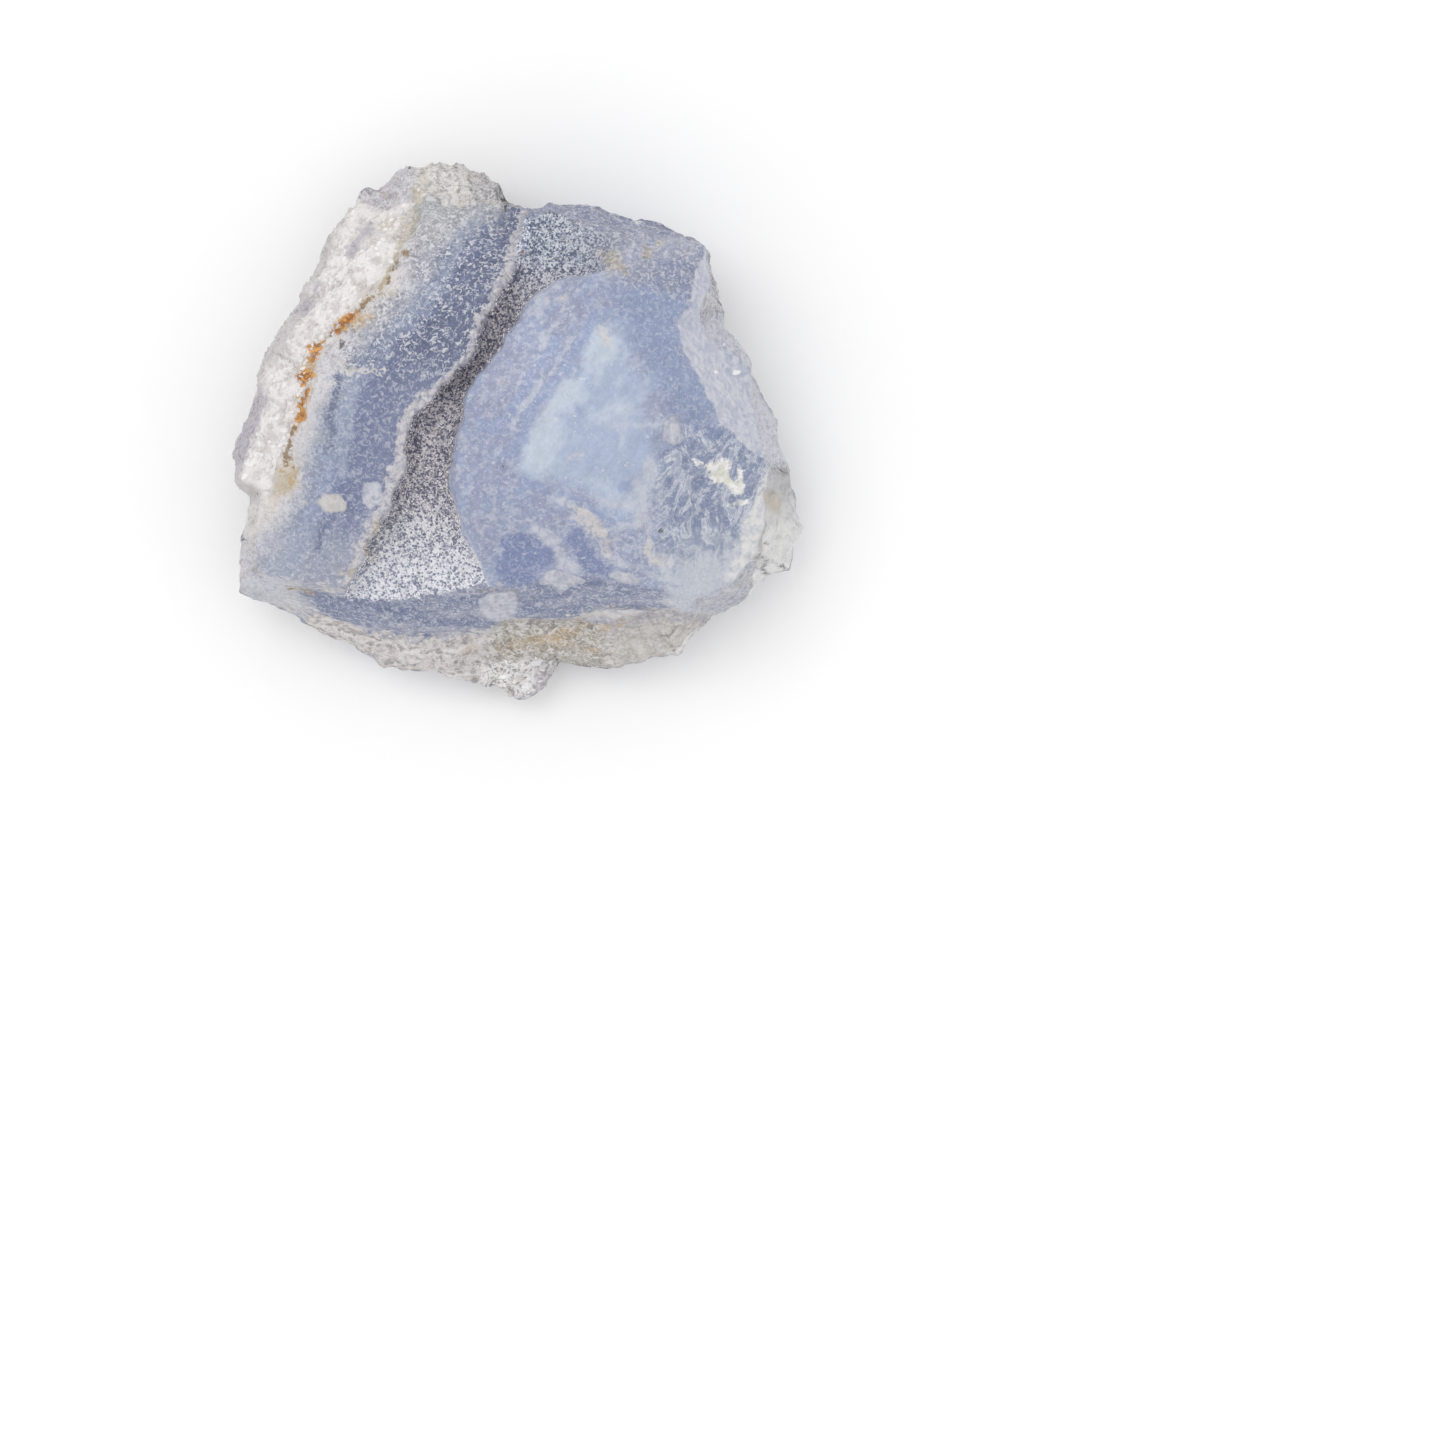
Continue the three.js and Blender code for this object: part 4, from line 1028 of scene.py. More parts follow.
FAR_GRAIN_PALE = colour(204, 210, 220)
LIP_BEIGE = colour(206, 202, 203)
LIP_GREY = colour(173, 172, 183)
LOBE_LAVENDER = colour(153, 158, 183)
LOBE_BLUE = colour(154, 164, 191)
LOBE_PALE = colour(190, 194, 208)
LOBE_PINK = colour(178, 176, 190)
MILKY = colour(172, 184, 208)
MILKY_BRIGHT = colour(194, 203, 216)
DEEP_BLUE = colour(144, 156, 186)
STREAK_BLUE = colour(150, 162, 194)
INDIGO = colour(124, 135, 172)
WISP = colour(198, 200, 209)
HACKLE_BLUE = colour(135, 145, 172)
HACKLE_PALE = colour(169, 176, 195)
CORNER_PALE = colour(196, 200, 209)
FACET_PALE = colour(203, 205, 214)
FACET_BLUE = colour(180, 185, 202)
RIDGE_PALE = colour(228, 226, 223)
RIDGE_BLUE = colour(206, 208, 214)
LEDGE_PALE = colour(231, 230, 229)
LEDGE_GREY = colour(178, 178, 182)
FAR_BLUE = colour(155, 158, 173)
FAR_DEEP = colour(143, 149, 175)
FRONT_BLUE = colour(118, 127, 156)
FRONT_GREY = colour(158, 161, 179)
CORNER_LILAC = colour(206, 205, 211)
RIND_CREAM = colour(212, 205, 202)
RIND_GREY = colour(166, 162, 163)
RIND_OLIVE = colour(163, 156, 145)
RIND_WHITE = colour(232, 229, 227)
RIND_SMOOTH = colour(168, 167, 174)
RIND_BEIGE = colour(194, 189, 183)
RIM_GREY = colour(172, 171, 177)
TONGUE_WHITE = colour(240, 238, 238)
TONGUE_GREY = colour(180, 177, 179)
TONGUE_LILAC = colour(206, 202, 208)
KNOB_PALE = colour(236, 232, 228)
KNOB_GREY = colour(188, 185, 184)
KNOB_DARK = colour(132, 130, 136)
KNOB_LILAC = colour(192, 189, 196)
CREAM = colour(214, 207, 200)
IVORY = colour(225, 223, 211)
CHIP_PALE = colour(202, 203, 211)
CHIP_GREY = colour(179, 182, 194)
CHIP_BEIGE = colour(204, 200, 197)
TAN = colour(184, 168, 136)
RUST_BROWN = colour(160, 106, 56)
RUST_ORANGE = colour(220, 165, 98)
GOLDEN = colour(198, 164, 110)
THREAD_BROWN = colour(146, 122, 92)
CRACK = colour(130, 122, 118)
DARK_SPOT = colour(96, 92, 92)

# Bands of the chalcedony, by their distance in mm from the seam.
BANDS = [
    (-0.6, colour(222, 219, 218)), (0.4, colour(218, 214, 214)), (1.05, colour(208, 206, 210)),
    (1.5, colour(190, 190, 198)), (2.1, colour(168, 172, 186)), (2.5, colour(148, 155, 175)),
    (3.2, colour(152, 162, 187)), (3.9, colour(126, 135, 165)), (5.2, colour(124, 132, 160)),
    (6.5, colour(129, 136, 163)), (7.5, colour(129, 136, 163)), (8.5, colour(146, 154, 177)),
    (10.0, colour(128, 136, 161)), (12.0, colour(156, 164, 184)), (13.5, colour(136, 144, 170)),
    (17.0, colour(166, 171, 188)), (21.0, colour(148, 154, 175)), (26.0, colour(172, 176, 190)),
]
BAND_SPAN = (-2.0, 30.0)

# Marks on the lobe from the lowest up: field, colour, how far their edges stray and how soft
# they are in mm, and strength.
LOBE_MARKS = [
    ("deep", DEEP_BLUE, 2.4, 0.8, 0.85), ("milk", MILKY, 3.0, 1.0, 0.85),
    ("milk_bright", MILKY_BRIGHT, 2.0, 0.6, 0.85), ("blue_streak", STREAK_BLUE, 0.9, 0.18, 0.8),
    ("pale_streak", LOBE_PALE, 0.9, 0.15, 0.7), ("indigo", INDIGO, 0.4, 0.2, 0.85),
    ("wisp", WISP, 1.2, 0.3, 0.75),
]

# Stain along the seam, by the place's Y in mm.
STAIN_COLOURS = [
    (-4.0, colour(192, 176, 146)), (8.0, colour(166, 146, 108)), (12.0, colour(180, 167, 138)),
    (15.0, colour(190, 182, 162)),
]
STAIN_SPAN = (-6.0, 16.0)

# Where each kind of surface begins: how far its edge strays in mm, and the span of its field.
GROUND_EDGES = {
    "wall_gap": (0.8, (-0.1, 0.3)), "near_gap": (1.4, (-0.15, 0.2)),
    "crust_edge": (1.4, (-0.1, 0.15)), "knob": (1.6, (0.2, 0.8)), "lobe_edge": (0.3, (-0.16, -0.06)),
    "hackly": (1.6, (0.2, 0.9)), "facet_edge": (0.3, (-0.05, 0.08)),
    "rind_edge": (1.4, (-0.25, 0.35)), "ridge": (0.3, (0.05, 0.2)), "chip": (0.35, (-0.05, 0.05)),
}

# Gloss and bump of the stone, and how bright its grains are.
CHALCEDONY_IOR = 1.54
BUMP_STRENGTH, BUMP_DEPTH, LOBE_SMOOTHING = 0.6, 0.08, 0.6  # the depth in mm
STONE_ROUGHNESS, LOBE_GLOSS, UNEVEN_GLOSS = 0.62, 0.25, 0.15
DRUSE_ROUGHNESS, SAND_ROUGHNESS, GRAIN_UNEVENNESS = 0.5, 0.7, 0.2
GRAIN_DIMMEST, GRAIN_RANGE = 0.94, 0.12  # how bright the darkest grain is, and what may come on top


class Wire:
    """A shader value with sums on it: every operator adds a Math node."""

    def __init__(self, paint, socket):
        self.paint = paint
        self.socket = socket

    def maths(self, operation, *values):
        return self.paint.node("ShaderNodeMath", {"operation": operation}, dict(enumerate(values)))

    def __add__(self, other):
        return self.maths("ADD", self, other)

    def __sub__(self, other):
        return self.maths("SUBTRACT", self, other)

    def __rsub__(self, other):
        return self.maths("SUBTRACT", other, self)

    def __mul__(self, other):
        return self.maths("MULTIPLY", self, other)

    __radd__ = __add__
    __rmul__ = __mul__

    def __abs__(self):
        return self.maths("ABSOLUTE", self)

    def over(self, low, high):
        """Smooth share of the way from the low value to the high one."""
        settings = {"interpolation_type": "SMOOTHSTEP"}
        inputs = {"Value": self, "From Min": low, "From Max": high}
        return self.paint.node("ShaderNodeMapRange", settings, inputs)


class Paint:
    """A material under construction. Its fields and noises are made once and then shared."""

    def __init__(self, name):
        self.material = bpy.data.materials.new(name)
        self.material.use_nodes = True
        self.tree = self.material.node_tree
        self.tree.nodes.clear()

    def node(self, kind, settings, inputs, output=0):
        """One node, with its inputs as values or wires."""
        inputs = {key: value.socket if isinstance(value, Wire) else value
                  for key, value in inputs.items()}
        return Wire(self, add_node(self.tree, kind, settings, inputs, output))

    def shaded(self, settings):
        """The material, with a Principled shader of the given inputs."""
        shader = self.node("ShaderNodeBsdfPrincipled", {}, settings, "BSDF")
        surface = self.tree.nodes.new("ShaderNodeOutputMaterial").inputs["Surface"]
        self.tree.links.new(shader.socket, surface)
        return self.material

    @functools.cache
    def field(self, name):
        return self.node("ShaderNodeAttribute", {"attribute_name": name}, {}, "Fac")

    @functools.cache
    def coordinates(self):
        return self.node("ShaderNodeTexCoord", {}, {}, "Object")

    @functools.cache
    def noise(self, width, bend=0.0, stretch=1.0, turn=0.0):
        """Noise from 0 to 1 with lumps of the given width in mm and specks down to FINEST. It is
        bent into worms if asked, or drawn out some times along X, turned by some degrees."""
        place = self.coordinates()
        if stretch != 1.0:
            turned = self.node("ShaderNodeVectorRotate", {"rotation_type": "Z_AXIS"},
                               {"Vector": place, "Angle": -math.radians(turn)})
            place = self.node("ShaderNodeVectorMath", {"operation": "MULTIPLY"},
                              {0: turned, 1: (1.0 / stretch, 1.0, 1.0)})
        inputs = {"Vector": place, "Scale": 1.0 / (width * MM), "Roughness": DETAIL_ROUGHNESS,
                  "Detail": max(0.0, math.log2(width / FINEST)), "Distortion": bend}
        return self.node("ShaderNodeTexNoise", {}, inputs, "Fac")

    def ragged(self, width):
        return self.noise(width) - 0.5

    def worms(self):
        """The finest pattern: bent grains that cover every surface."""
        return self.noise(GRAIN, bend=1.2)

    def lines(self, half_width, **shape):
        """Thin lines that wander over the surface."""
        return abs(self.noise(**shape) - 0.5).over(half_width, 0.0)

    def crumbs(self, width):
        """Distance from the nearest of many scattered middles, in widths."""
        inputs = {"Vector": self.coordinates(), "Scale": 1.0 / (width * MM)}
        return self.node("ShaderNodeTexVoronoi", {}, inputs, "Distance")

    def strayed(self, name, strays):
        """A field moved to and fro by noises, each of the given width and depth in mm."""
        value = self.field(name)
        for width, depth in strays:
            value = value + depth * self.ragged(width)
        return value

    def edge(self, name, strays, span):
        """Share inside a field's ragged edge: from 0 to 1 over the given span of its values."""
        return self.strayed(name, strays).over(*span)

    def mix(self, share, first, second):
        settings = {"data_type": "RGBA"}
        return self.node("ShaderNodeMix", settings, {0: share, 6: first, 7: second}, 2)

    def laid(self, under, tint, share, strength):
        """A colour laid over another as far as a share says, and at most with some strength."""
        return self.mix(share * strength, under, tint)

    def grain_gap_shaded(self, tint, strength):
        """A colour darkened by painted shade in the gaps between grains."""
        return self.scaled(tint, 1.0 - strength * self.field("hollow").over(0.0, 1.0))

    def scaled(self, tint, factor):
        """A colour made lighter or darker."""
        tint = tint if isinstance(tint, Wire) else tint[:3]
        return self.node("ShaderNodeVectorMath", {"operation": "MULTIPLY"}, {0: tint, 1: factor})

    def colours(self, value, span, stops):
        """Colour ramp over a span of values."""
        low, high = span
        scaled = (value - low) * (1.0 / (high - low))
        placed = [((place - low) / (high - low), tint) for place, tint in stops]
        return self.node("ShaderNodeValToRGB", {"stops": placed}, {"Fac": scaled}, "Color")


def bench_colour(paint):
    """Bands that follow the seam, broken up into mottles, with streaks and lumps laid over."""
    layer = paint.strayed("layer", [(DRIFT, 1.5), (MOTTLE, 1.6), (FLECK, 1.2)])
    result = paint.scaled(paint.colours(layer, BAND_SPAN, BANDS), 1.0 + 0.3 * paint.ragged(MOTTLE))
    near = paint.edge("near_share", [(CLOUD, 1.2)], (0.1, 1.0))
    result = paint.laid(result, BENCH_LILAC, near, 0.6)
    patches = 0.35 * paint.noise(DRIFT).over(0.4, 0.6) + 0.6 * layer.over(2.4, 5.0)
    result = paint.mix(paint.field("speckle") * patches, result, BENCH_DEEP)
    for name, tint, strength in [
        ("dark_streak", STREAK_GREY, 0.85), ("pale_streak", STREAK_LIGHT, 0.65),
    ]:
        streaks = paint.edge(name, [(MOTTLE, 1.6)], (-0.3, 0.25))
        result = paint.laid(result, tint, streaks, strength)
    knob_shade = paint.edge("knob_shade", [(MOTTLE, 1.6)], (0.3, 1.0))
    result = paint.laid(result, SHADE_GREY, knob_shade, 0.85)
    result = paint.laid(result, SPECK_WHITE, paint.noise(FLECK).over(0.62, 0.7), 0.4)
    lumps = paint.edge("cross_lumps", [(FLECK, 2.4), (MOTTLE, 1.6)], (0.2, 0.4))
    return paint.laid(result, CREAM, lumps, 0.7)


def bench_grit(paint):
    """How strongly the bench is grained: most on its far half, in clusters."""
    clusters = paint.noise(CLOUD).over(0.3, 0.62)
    beside_seam = paint.field("layer").over(3.0, 1.0)
    return 0.34 + 0.5 * paint.field("speckle") * clusters + 0.16 * beside_seam


def crust_colour(paint, shade):
    """Sugary quartz: cloudy white and cream with painted shade between its grains, a few flecks and
    lilac-grey bands.
    """
    cloud = paint.noise(CLOUD) + 0.3 * (shade - 0.5)
    result = paint.mix(cloud.over(0.36, 0.56), CRUST_CREAM, CRUST_WHITE)
    # Painted shade in the gaps between the quartz grains.
    result = paint.grain_gap_shaded(result, 0.1)
    side = paint.edge("wall_gap", [(MOTTLE, 2.0)], (-0.9, 1.0))
    result = paint.laid(result, CRUST_SIDE, side, 0.75)
    lilac = paint.edge("lilac", [(MOTTLE, 1.4)], (-0.3, 0.2))
    result = paint.laid(result, CRUST_LILAC, lilac, 0.85)
    flecks = paint.crumbs(CRUMB).over(*CRUMB_EDGE) * paint.noise(DRIFT).over(0.45, 0.6)
    result = paint.laid(result, CRUST_FLECK, flecks, 0.7)
    knob = paint.edge("knob", [(MOTTLE, 1.6)], (0.2, 0.8))
    result = paint.laid(result, knob_colour(paint), knob, 0.9)
    return paint.mix(paint.field("glint").over(-0.04, 0.04), result, WHITE)


def knob_colour(paint):
    """Crinkled grey-cream stone of the far knob, lilac to the left and stained here and there."""
    result = paint.mix(paint.noise(MOTTLE).over(0.38, 0.62), KNOB_GREY, KNOB_PALE)
    result = paint.laid(result, KNOB_DARK, paint.field("knob_right"), 0.6)
    result = paint.mix(paint.edge("knob_left", [(MOTTLE, 1.2)], (0.5, 1.0)), result, KNOB_LILAC)
    result = paint.laid(result, RIND_WHITE, paint.lines(0.04, width=0.8, bend=0.8), 0.7)
    return paint.laid(result, CRUST_FLECK, paint.noise(CLOUD).over(0.56, 0.66), 0.5)


def trough_colour(paint, grain):
    """Matt crackle of dark and pale grains, dark in the neck and pale in the wide near part."""
    light, far = paint.strayed("trough_light", [(CLOUD, 0.6)]), paint.field("trough_far")
    dark = paint.laid(paint.mix(light, NECK_DARK, NEAR_DARK), FAR_GRAIN_DARK, far, 0.8)
    pale = paint.laid(paint.mix(light, NECK_PALE, NEAR_PALE), FAR_GRAIN_PALE, far, 0.8)
    result = paint.mix((grain + 0.08 * light - 0.03).over(0.3, 0.7), dark, pale)
    # Painted light: the grains at the foot of the lip are lightened to cancel the shadow that the lip
    # casts into the neck.
    lip_foot_painted_light = paint.field("lip").over(0.9, 0.0) * paint.field("speckle")
    result = paint.scaled(result, 1.0 + 0.4 * lip_foot_painted_light)
    result = paint.laid(result, CRUST_FLECK, paint.noise(MOTTLE).over(0.6, 0.7), 0.3)
    fade = paint.edge("trough_fade", [(MOTTLE, 0.8)], (-0.1, 1.0))
    return paint.laid(result, FAR_BLUE, fade, 0.7)


def far_blue_colour(paint):
    """Grey-blue of the far corner, in clouds."""
    return paint.mix(paint.noise(CLOUD).over(0.4, 0.62), FAR_DEEP, FAR_BLUE)


def lobe_colour(paint):
    """Smooth blue, mottled all over, with milky clouds, deep patches and slanting streaks."""
    cloud, speck = paint.noise(1.5, **SLANT), paint.ragged(MOTTLE)
    result = paint.mix(cloud.over(0.4, 0.6), LOBE_LAVENDER, LOBE_BLUE)
    result = paint.laid(result, LOBE_PALE, speck.over(0.0, 0.16), 0.55)
    result = paint.laid(result, LOBE_PINK, paint.noise(CLOUD).over(0.54, 0.66), 0.45)
    wisps = paint.lines(0.035, width=1.6, bend=1.4) * paint.field("marbled")
    result = paint.laid(result, WISP, wisps, 0.7)
    for name, tint, stray, soft, strength in LOBE_MARKS:
        share = (paint.field(name) + stray * (cloud - 0.5) + 0.9 * speck).over(-soft, soft)
        result = paint.laid(result, tint, share, strength)
    result = paint.scaled(result, 0.8 + 0.4 * paint.noise(0.7, **SLANT))
    result = paint.laid(result, SPECK_WHITE, paint.noise(FLECK).over(0.64, 0.74), 0.5)
    corner = (paint.field("far_corner") + 1.2 * (cloud - 0.5)).over(0.2, 0.8)
    return paint.laid(result, far_blue_colour(paint), corner, 0.9)


def lobe_grit(paint):
    """The lobe is nearly smooth in the milky part and finely grained around it."""
    milky = paint.edge("milk", [(CLOUD, 2.0)], (-1.0, 1.0))
    return 0.26 - 0.16 * milky + 0.3 * paint.field("far_corner")


def hackly_colour(paint):
    """Swirls of deep blue and white, fading to smooth pale grey at the corner."""
    swirls = paint.noise(1.6, bend=1.8, stretch=1.7, turn=75)
    result = paint.mix(swirls.over(0.38, 0.62), HACKLE_BLUE, HACKLE_PALE)
    result = paint.laid(result, SPECK_WHITE, abs(swirls - 0.54).over(0.04, 0.0), 0.7)
    smooth = paint.edge("smooth_corner", [(CLOUD, 2.2)], (0.2, 0.9))
    return paint.laid(result, CORNER_PALE, smooth, 0.85)


def rind_colour(paint):
    """Crinkled sheets of rind: cream-grey at both ends, olive in the middle, white on the tip."""
    result = paint.mix(paint.ragged(MOTTLE).over(-0.14, 0.08), RIND_GREY, RIND_CREAM)
    olive = paint.edge("rind_middle", [(MOTTLE, 1.6)], (0.3, 0.8))
    result = paint.laid(result, RIND_OLIVE, olive, 0.75)
    # Painted shade in the gaps between the rind's grains.
    result = paint.grain_gap_shaded(result, 0.2)
    sheets = paint.strayed("rind_edge", [(CLOUD, 1.1), (MOTTLE, 0.5)])
    edges = sheets.maths("PINGPONG", sheets, 0.42).over(0.12, 0.0)
    upper = paint.field("rind_edge").over(1.6, 0.6)
    result = paint.mix(edges * (0.4 + 0.35 * upper), result, RIND_WHITE)
    result = paint.laid(result, RIND_WHITE, paint.lines(0.04, **CRINKLES), 0.6)
    lower = paint.edge("fold", [(MOTTLE, 1.6)], (0.7, 1.4))
    right = paint.edge("rind_right", [(MOTTLE, 1.2)], (0.3, 0.8))
    result = paint.laid(result, paint.mix(lower, RIND_SMOOTH, RIND_BEIGE), right, 0.7)
    crystals = paint.mix(paint.worms().over(0.36, 0.58), TONGUE_GREY, TONGUE_WHITE)
    end = paint.edge("tongue_end", [(MOTTLE, 0.8)], (0.3, 0.7))
    tip = paint.edge("tongue", [(MOTTLE, 1.4)], (0.3, 0.7))
    return paint.laid(result, paint.mix(end, crystals, TONGUE_LILAC), tip, 0.85)


def wall_colour(paint, bench):
    """The steep sides: banded stone and rind in patches, by which way they face."""
    result = paint.laid(bench, rind_colour(paint), paint.noise(3.2).over(0.42, 0.56), 0.85)
    strays = [(MOTTLE, 1.0), (DRIFT, 2.0)]
    far_side = paint.edge("far_side", strays, (0.3, 0.7))
    result = paint.mix(far_side, result, far_blue_colour(paint))
    crinkled = paint.mix(paint.lines(0.045, **CRINKLES), RIM_GREY, RIND_WHITE)
    result = paint.laid(result, crinkled, paint.edge("right_side", strays, (0.3, 0.7)), 0.85)
    facet = paint.edge("facet_side", [(MOTTLE, 1.0)], (0.3, 0.7))
    return paint.laid(result, FACET_PALE, facet, 0.85)


def front_colour(paint):
    """Frosted blue-grey with faint flow lines, paler towards both ends."""
    flow = paint.noise(1.5, stretch=3.0)
    result = paint.mix(flow.over(0.4, 0.64), FRONT_BLUE, FRONT_GREY)
    for name, tint, span in [
        ("near_corner", CORNER_LILAC, (0.1, 0.8)), ("smooth_corner", CORNER_PALE, (0.4, 0.9)),
    ]:
        share = (paint.field(name) + 1.2 * (flow - 0.5)).over(*span)
        result = paint.laid(result, tint, share, 0.8)
    return result


def seam_stained(paint, ground):
    """Crumbs of iron stain in and beside the seam, with a faint halo."""
    along = paint.node("ShaderNodeSeparateXYZ", {}, {0: paint.coordinates()}, "Y")
    olive = paint.colours(along * (1.0 / MM), STAIN_SPAN, STAIN_COLOURS)
    crumbs = paint.ragged(FLECK)
    rust = paint.mix(crumbs.over(-0.04, 0.14), RUST_BROWN, RUST_ORANGE)
    shade = 0.55 + 0.9 * paint.worms()
    strength = paint.field("stain_strength") * paint.field("top")
    depth = paint.strayed("stain", [(MOTTLE, 1.1), (FLECK, 1.1)])
    result = paint.laid(ground, olive, depth.over(-0.5, 0.2) * strength, 0.25)
    result = paint.laid(result, paint.scaled(olive, shade), depth.over(0.0, 0.1) * strength, 0.9)
    for name, tint, stray, soft, strength in [
        ("gold", GOLDEN, 1.6, 0.24, 0.6), ("thread", THREAD_BROWN, 0.7, 0.08, 0.85),
        ("rust", rust, 1.1, 0.1, 0.95),
    ]:
        share = (paint.field(name) + stray * crumbs).over(-soft, soft) * paint.field("top")
        result = paint.laid(result, paint.scaled(tint, shade), share, strength)
    return result


def grounds(paint, bench):
    """The kinds of surface from the lowest layer up: share, colour and how strongly grained."""
    begun = {name: paint.edge(name, [(MOTTLE, stray)], span)
             for name, (stray, span) in GROUND_EDGES.items()}
    top, lumps = paint.field("top"), paint.noise(MOTTLE)
    wall = 1.0 - (1.0 - begun["wall_gap"]) * top
    open_top = top * (1.0 - wall)
    near, chip, lobe = begun["near_gap"] * top, begun["chip"] * top, begun["lobe_edge"] * open_top
    # Painted highlight: a pale line just inside the lobe's edge, where the edge catches the light.
    lobe_rim_highlight = paint.edge("lobe_edge", [(MOTTLE, 0.2)], (0.12, -0.06)) * lobe
    past_lip = paint.strayed("lip", [(MOTTLE, 0.5)])
    lip_band = (past_lip + paint.strayed("lip_width", [(MOTTLE, 1.0)])).over(-0.1, 0.1)
    lip_tint = paint.mix(paint.noise(FLECK).over(0.4, 0.58), LIP_GREY, LIP_BEIGE)
    facet_tint = paint.mix(lumps.over(0.38, 0.62), FACET_BLUE, FACET_PALE)
    sliver = (paint.field("ridge") + paint.strayed("ridge_width", [(MOTTLE, 0.7)])).over(-0.2, 0.4)
    sliver_tint = paint.mix(lumps.over(0.4, 0.6), RIDGE_BLUE, RIDGE_PALE)
    ledge_tone = 0.7 * paint.field("ledge_low") + 0.3 * lumps.over(0.38, 0.6)
    chip_tint = paint.mix(lumps.over(0.38, 0.6), CHIP_GREY, CHIP_PALE)
    return [
        (lip_band * open_top * 0.85, lip_tint, 0.4),
        (wall * 0.9, wall_colour(paint, bench), 0.6),
        (begun["crust_edge"] * top, crust_colour(paint, paint.noise(FLECK)), 0.25),
        (begun["knob"] * top * 0.9, knob_colour(paint), 0.7),
        (past_lip.over(0.02, 0.08) * open_top, trough_colour(paint, paint.worms()), 0.3),
        (lobe, lobe_colour(paint), lobe_grit(paint)),
        (begun["hackly"] * lobe, hackly_colour(paint), 0.34 - 0.16 * paint.field("smooth_corner")),
        (begun["facet_edge"] * lobe, facet_tint, 0.22),
        (lobe_rim_highlight * 0.4, LOBE_PALE, 0.3),
        (near * 0.95, front_colour(paint), 0.45),
        (begun["rind_edge"] * near, rind_colour(paint), 0.46 + 0.24 * paint.field("rind_middle")),
        (sliver * top * lobe * 0.9, sliver_tint, 0.25),
        (begun["ridge"] * top, paint.mix(ledge_tone, LEDGE_GREY, LEDGE_PALE), 0.25),
        (chip * 0.9, paint.mix(paint.field("chip_beige"), chip_tint, CHIP_BEIGE), 0.25),
        # Painted shade: a darker line just inside each chip's edge, where the scar steps down.
        (chip * paint.field("chip").over(0.14, 0.02) * 0.3, STREAK_GREY, 0.2),
    ]


def stone_colour(paint):
    """All the kinds of surface, then the marks, the stain and the grain that covers everything."""
    top = paint.field("top")
    result, grit = bench_colour(paint), bench_grit(paint)
    for share, tint, grit_there in grounds(paint, result):
        result = paint.mix(share, result, tint)
        grit = grit + (grit_there - grit) * share
    ivory = paint.mix(paint.noise(MOTTLE).over(0.42, 0.6), IVORY, WHITE)
    for name, tint, stray, soft, strength in [
        # The cream marks also lay painted light on the tilted chip of the near face.
        ("cream", CREAM, 1.4, 0.3, 0.7), ("ivory", ivory, 1.0, 0.1, 0.9), ("tan", TAN, 1.8, 0.3, 0.5),
        ("crack", CRACK, 0.8, 0.1, 0.6), ("dark_spot", DARK_SPOT, 0.1, 0.04, 0.8),
    ]:
        marks = paint.edge(name, [(MOTTLE, stray)], (-soft, soft)) * top
        result = paint.laid(result, tint, marks, strength)
    glints = paint.edge("glint", [(MOTTLE, 0.4)], (-0.05, 0.05)) * top
    result = paint.mix(glints * paint.field("wall_gap").over(1.0, 0.0), result, WHITE)
    worms = paint.worms()
    result = paint.mix(worms.over(0.5, 0.64) * grit, result, SPECK_PALE)
    return seam_stained(paint, paint.scaled(result, 1.0 - 0.4 * worms.over(0.5, 0.36) * grit))


def stone_material():
    paint = Paint("chalcedony")
    smooth = paint.field("lobe_edge").over(-0.2, 0.0) * paint.field("top")
    bump_height = paint.noise(GRAIN) * (1.0 - LOBE_SMOOTHING * smooth)
    bump = paint.node("ShaderNodeBump", {}, {
        "Strength": BUMP_STRENGTH, "Distance": BUMP_DEPTH * MM, "Height": bump_height,
    }, "Normal")
    return paint.shaded({
        "Base Color": stone_colour(paint),
        "Roughness": STONE_ROUGHNESS - LOBE_GLOSS * smooth + UNEVEN_GLOSS * paint.ragged(MOTTLE),
        "Normal": bump,
        "IOR": CHALCEDONY_IOR,
    })


def grain_material(name, tint_of, roughness):
    """The material of scattered grains, each with a shade of its own."""
    paint = Paint(name)
    shade = paint.field("shade")
    return paint.shaded({
        "Base Color": paint.scaled(tint_of(paint, shade), GRAIN_DIMMEST + GRAIN_RANGE * shade),
        "Roughness": roughness + GRAIN_UNEVENNESS * (shade - 0.5),
        "IOR": CHALCEDONY_IOR,
    })


# Floor, light and camera

FLOOR_HALF, FLOOR_TINT, FLOOR_ROUGHNESS = 600.0, (0.95, 0.95, 0.95, 1.0), 0.9
KEY_PLACE, KEY_SIZE, KEY_WATTS = (-260.0, 240.0, 700.0), 420.0, 0.87
WORLD_TINT, WORLD_STRENGTH = (1.0, 1.0, 1.0, 1.0), 1.0
SENSOR = 36.0  # width of the camera's sensor
NEAREST, FARTHEST = 10.0, 10000.0  # distances from the camera between which things show


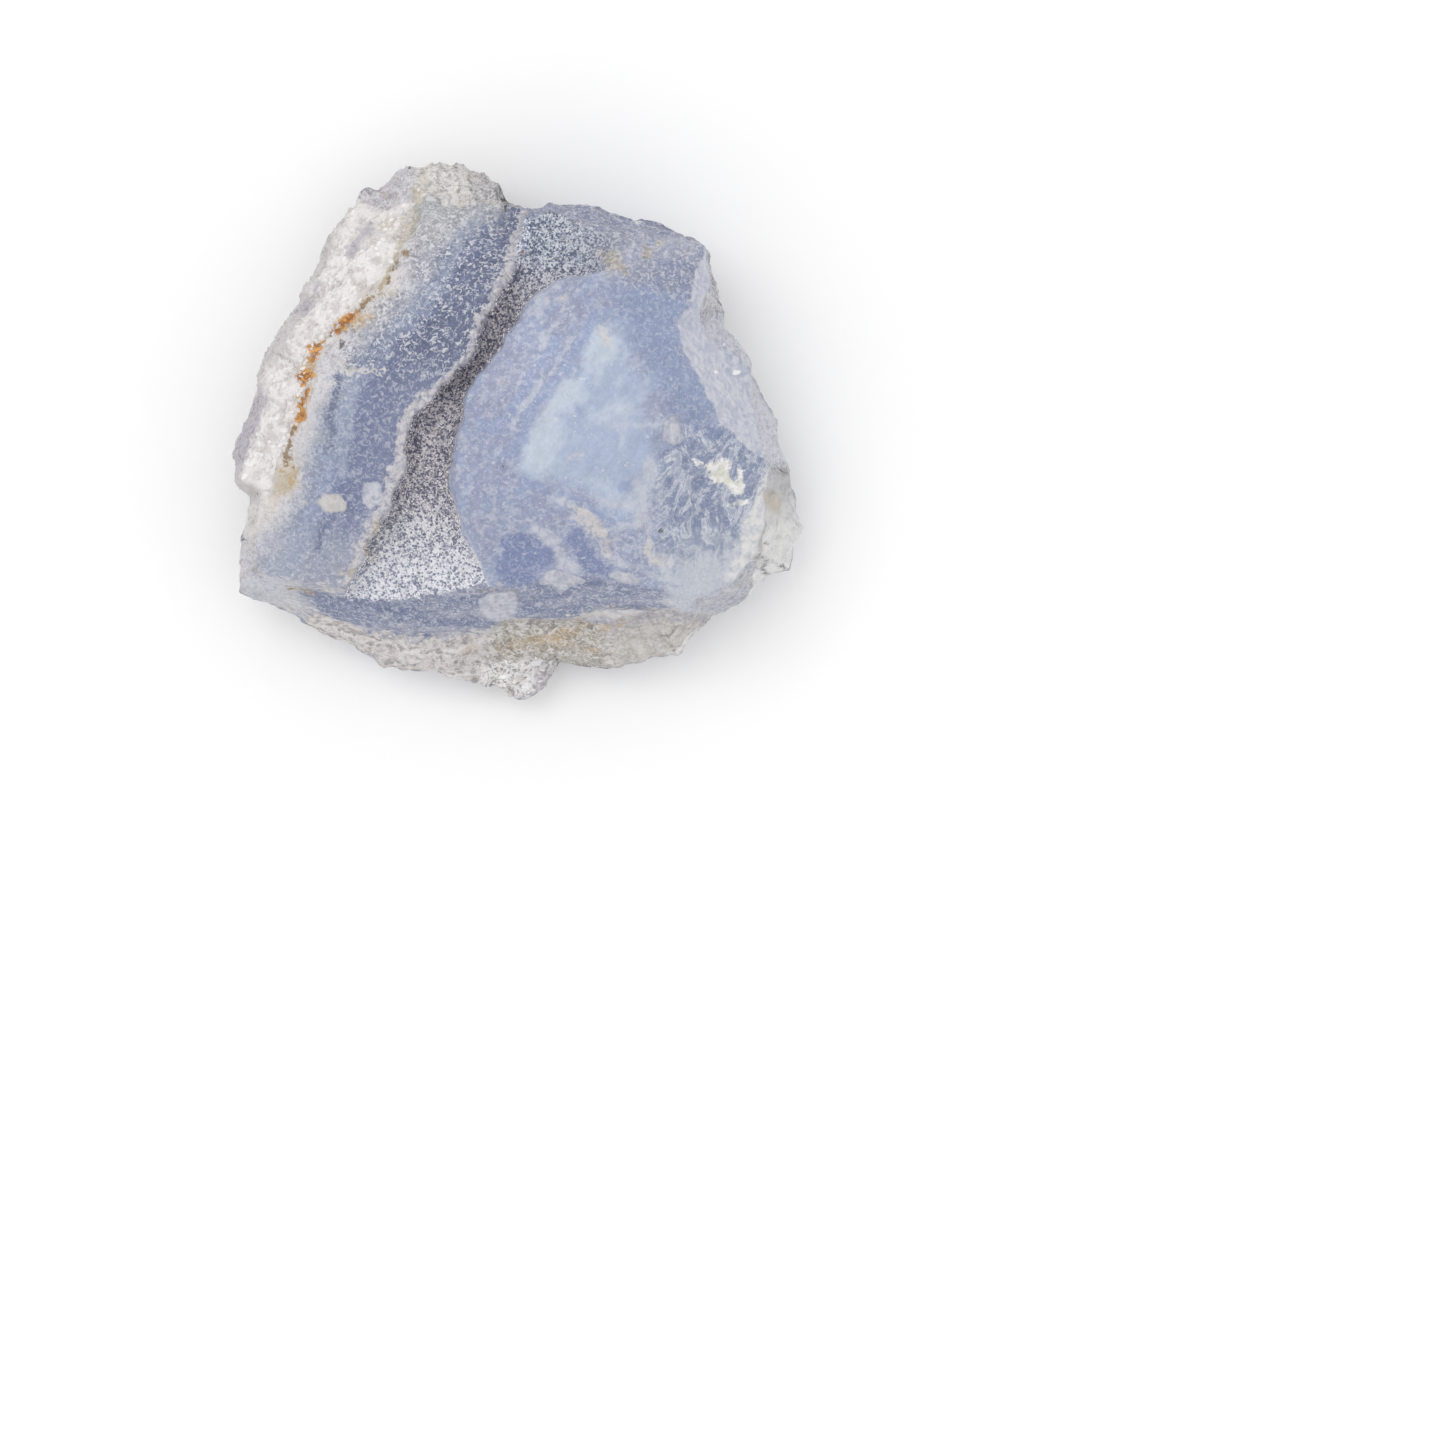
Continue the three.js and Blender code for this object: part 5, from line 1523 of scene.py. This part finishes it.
def floor_material():
    paint = Paint("pale_floor")
    return paint.shaded({"Base Color": FLOOR_TINT, "Roughness": FLOOR_ROUGHNESS})


def add_floor():
    half = FLOOR_HALF * MM
    corners = [(-half, -half, 0.0), (half, -half, 0.0), (half, half, 0.0), (-half, half, 0.0)]
    mesh = bpy.data.meshes.new("floor")
    mesh.from_pydata(corners, [], [(0, 1, 2, 3)])
    mesh.materials.append(floor_material())
    shown("floor", mesh)


def add_area_light(name, place, size, watts):
    light = bpy.data.lights.new(name, "AREA")
    light.size = size * MM
    light.energy = watts
    lamp = bpy.data.objects.new(name, light)
    bpy.context.scene.collection.objects.link(lamp)
    lamp.location = Vector(place) * MM
    lamp.rotation_mode = "QUATERNION"
    lamp.rotation_quaternion = (-lamp.location).to_track_quat("-Z", "Y")


def add_light():
    world = bpy.data.worlds.new("studio")
    world.use_nodes = True
    background = world.node_tree.nodes["Background"]
    background.inputs["Color"].default_value = WORLD_TINT
    background.inputs["Strength"].default_value = WORLD_STRENGTH
    bpy.context.scene.world = world
    add_area_light("key", KEY_PLACE, KEY_SIZE, KEY_WATTS)
    bpy.context.scene.view_settings.view_transform = "Standard"


def add_camera():
    camera = bpy.data.cameras.new("camera")
    camera.sensor_width = SENSOR
    camera.lens = SENSOR * CAMERA_DISTANCE / VIEW_WIDTH
    camera.clip_start = NEAREST * MM
    camera.clip_end = FARTHEST * MM
    holder = bpy.data.objects.new("camera", camera)
    bpy.context.scene.collection.objects.link(holder)
    across, along = VIEW_MIDDLE
    holder.location = Vector((across, along, RIM_LEVEL + CAMERA_DISTANCE)) * MM
    bpy.context.scene.camera = holder


add_camera()
add_light()
add_floor()
stone = stone_piece()
stone.data.materials.append(stone_material())
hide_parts("agate")
quartz = grain_material("quartz", crust_colour, DRUSE_ROUGHNESS)
druse = scattered("quartz_druse", stone, "sugary", quartz, DRUSE)
grain = grain_material("grain", trough_colour, SAND_ROUGHNESS)
sand = scattered("trough_grains", stone, "sandy", grain, TROUGH_SAND)
for piece in (stone, druse, sand):
    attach(piece, "root")
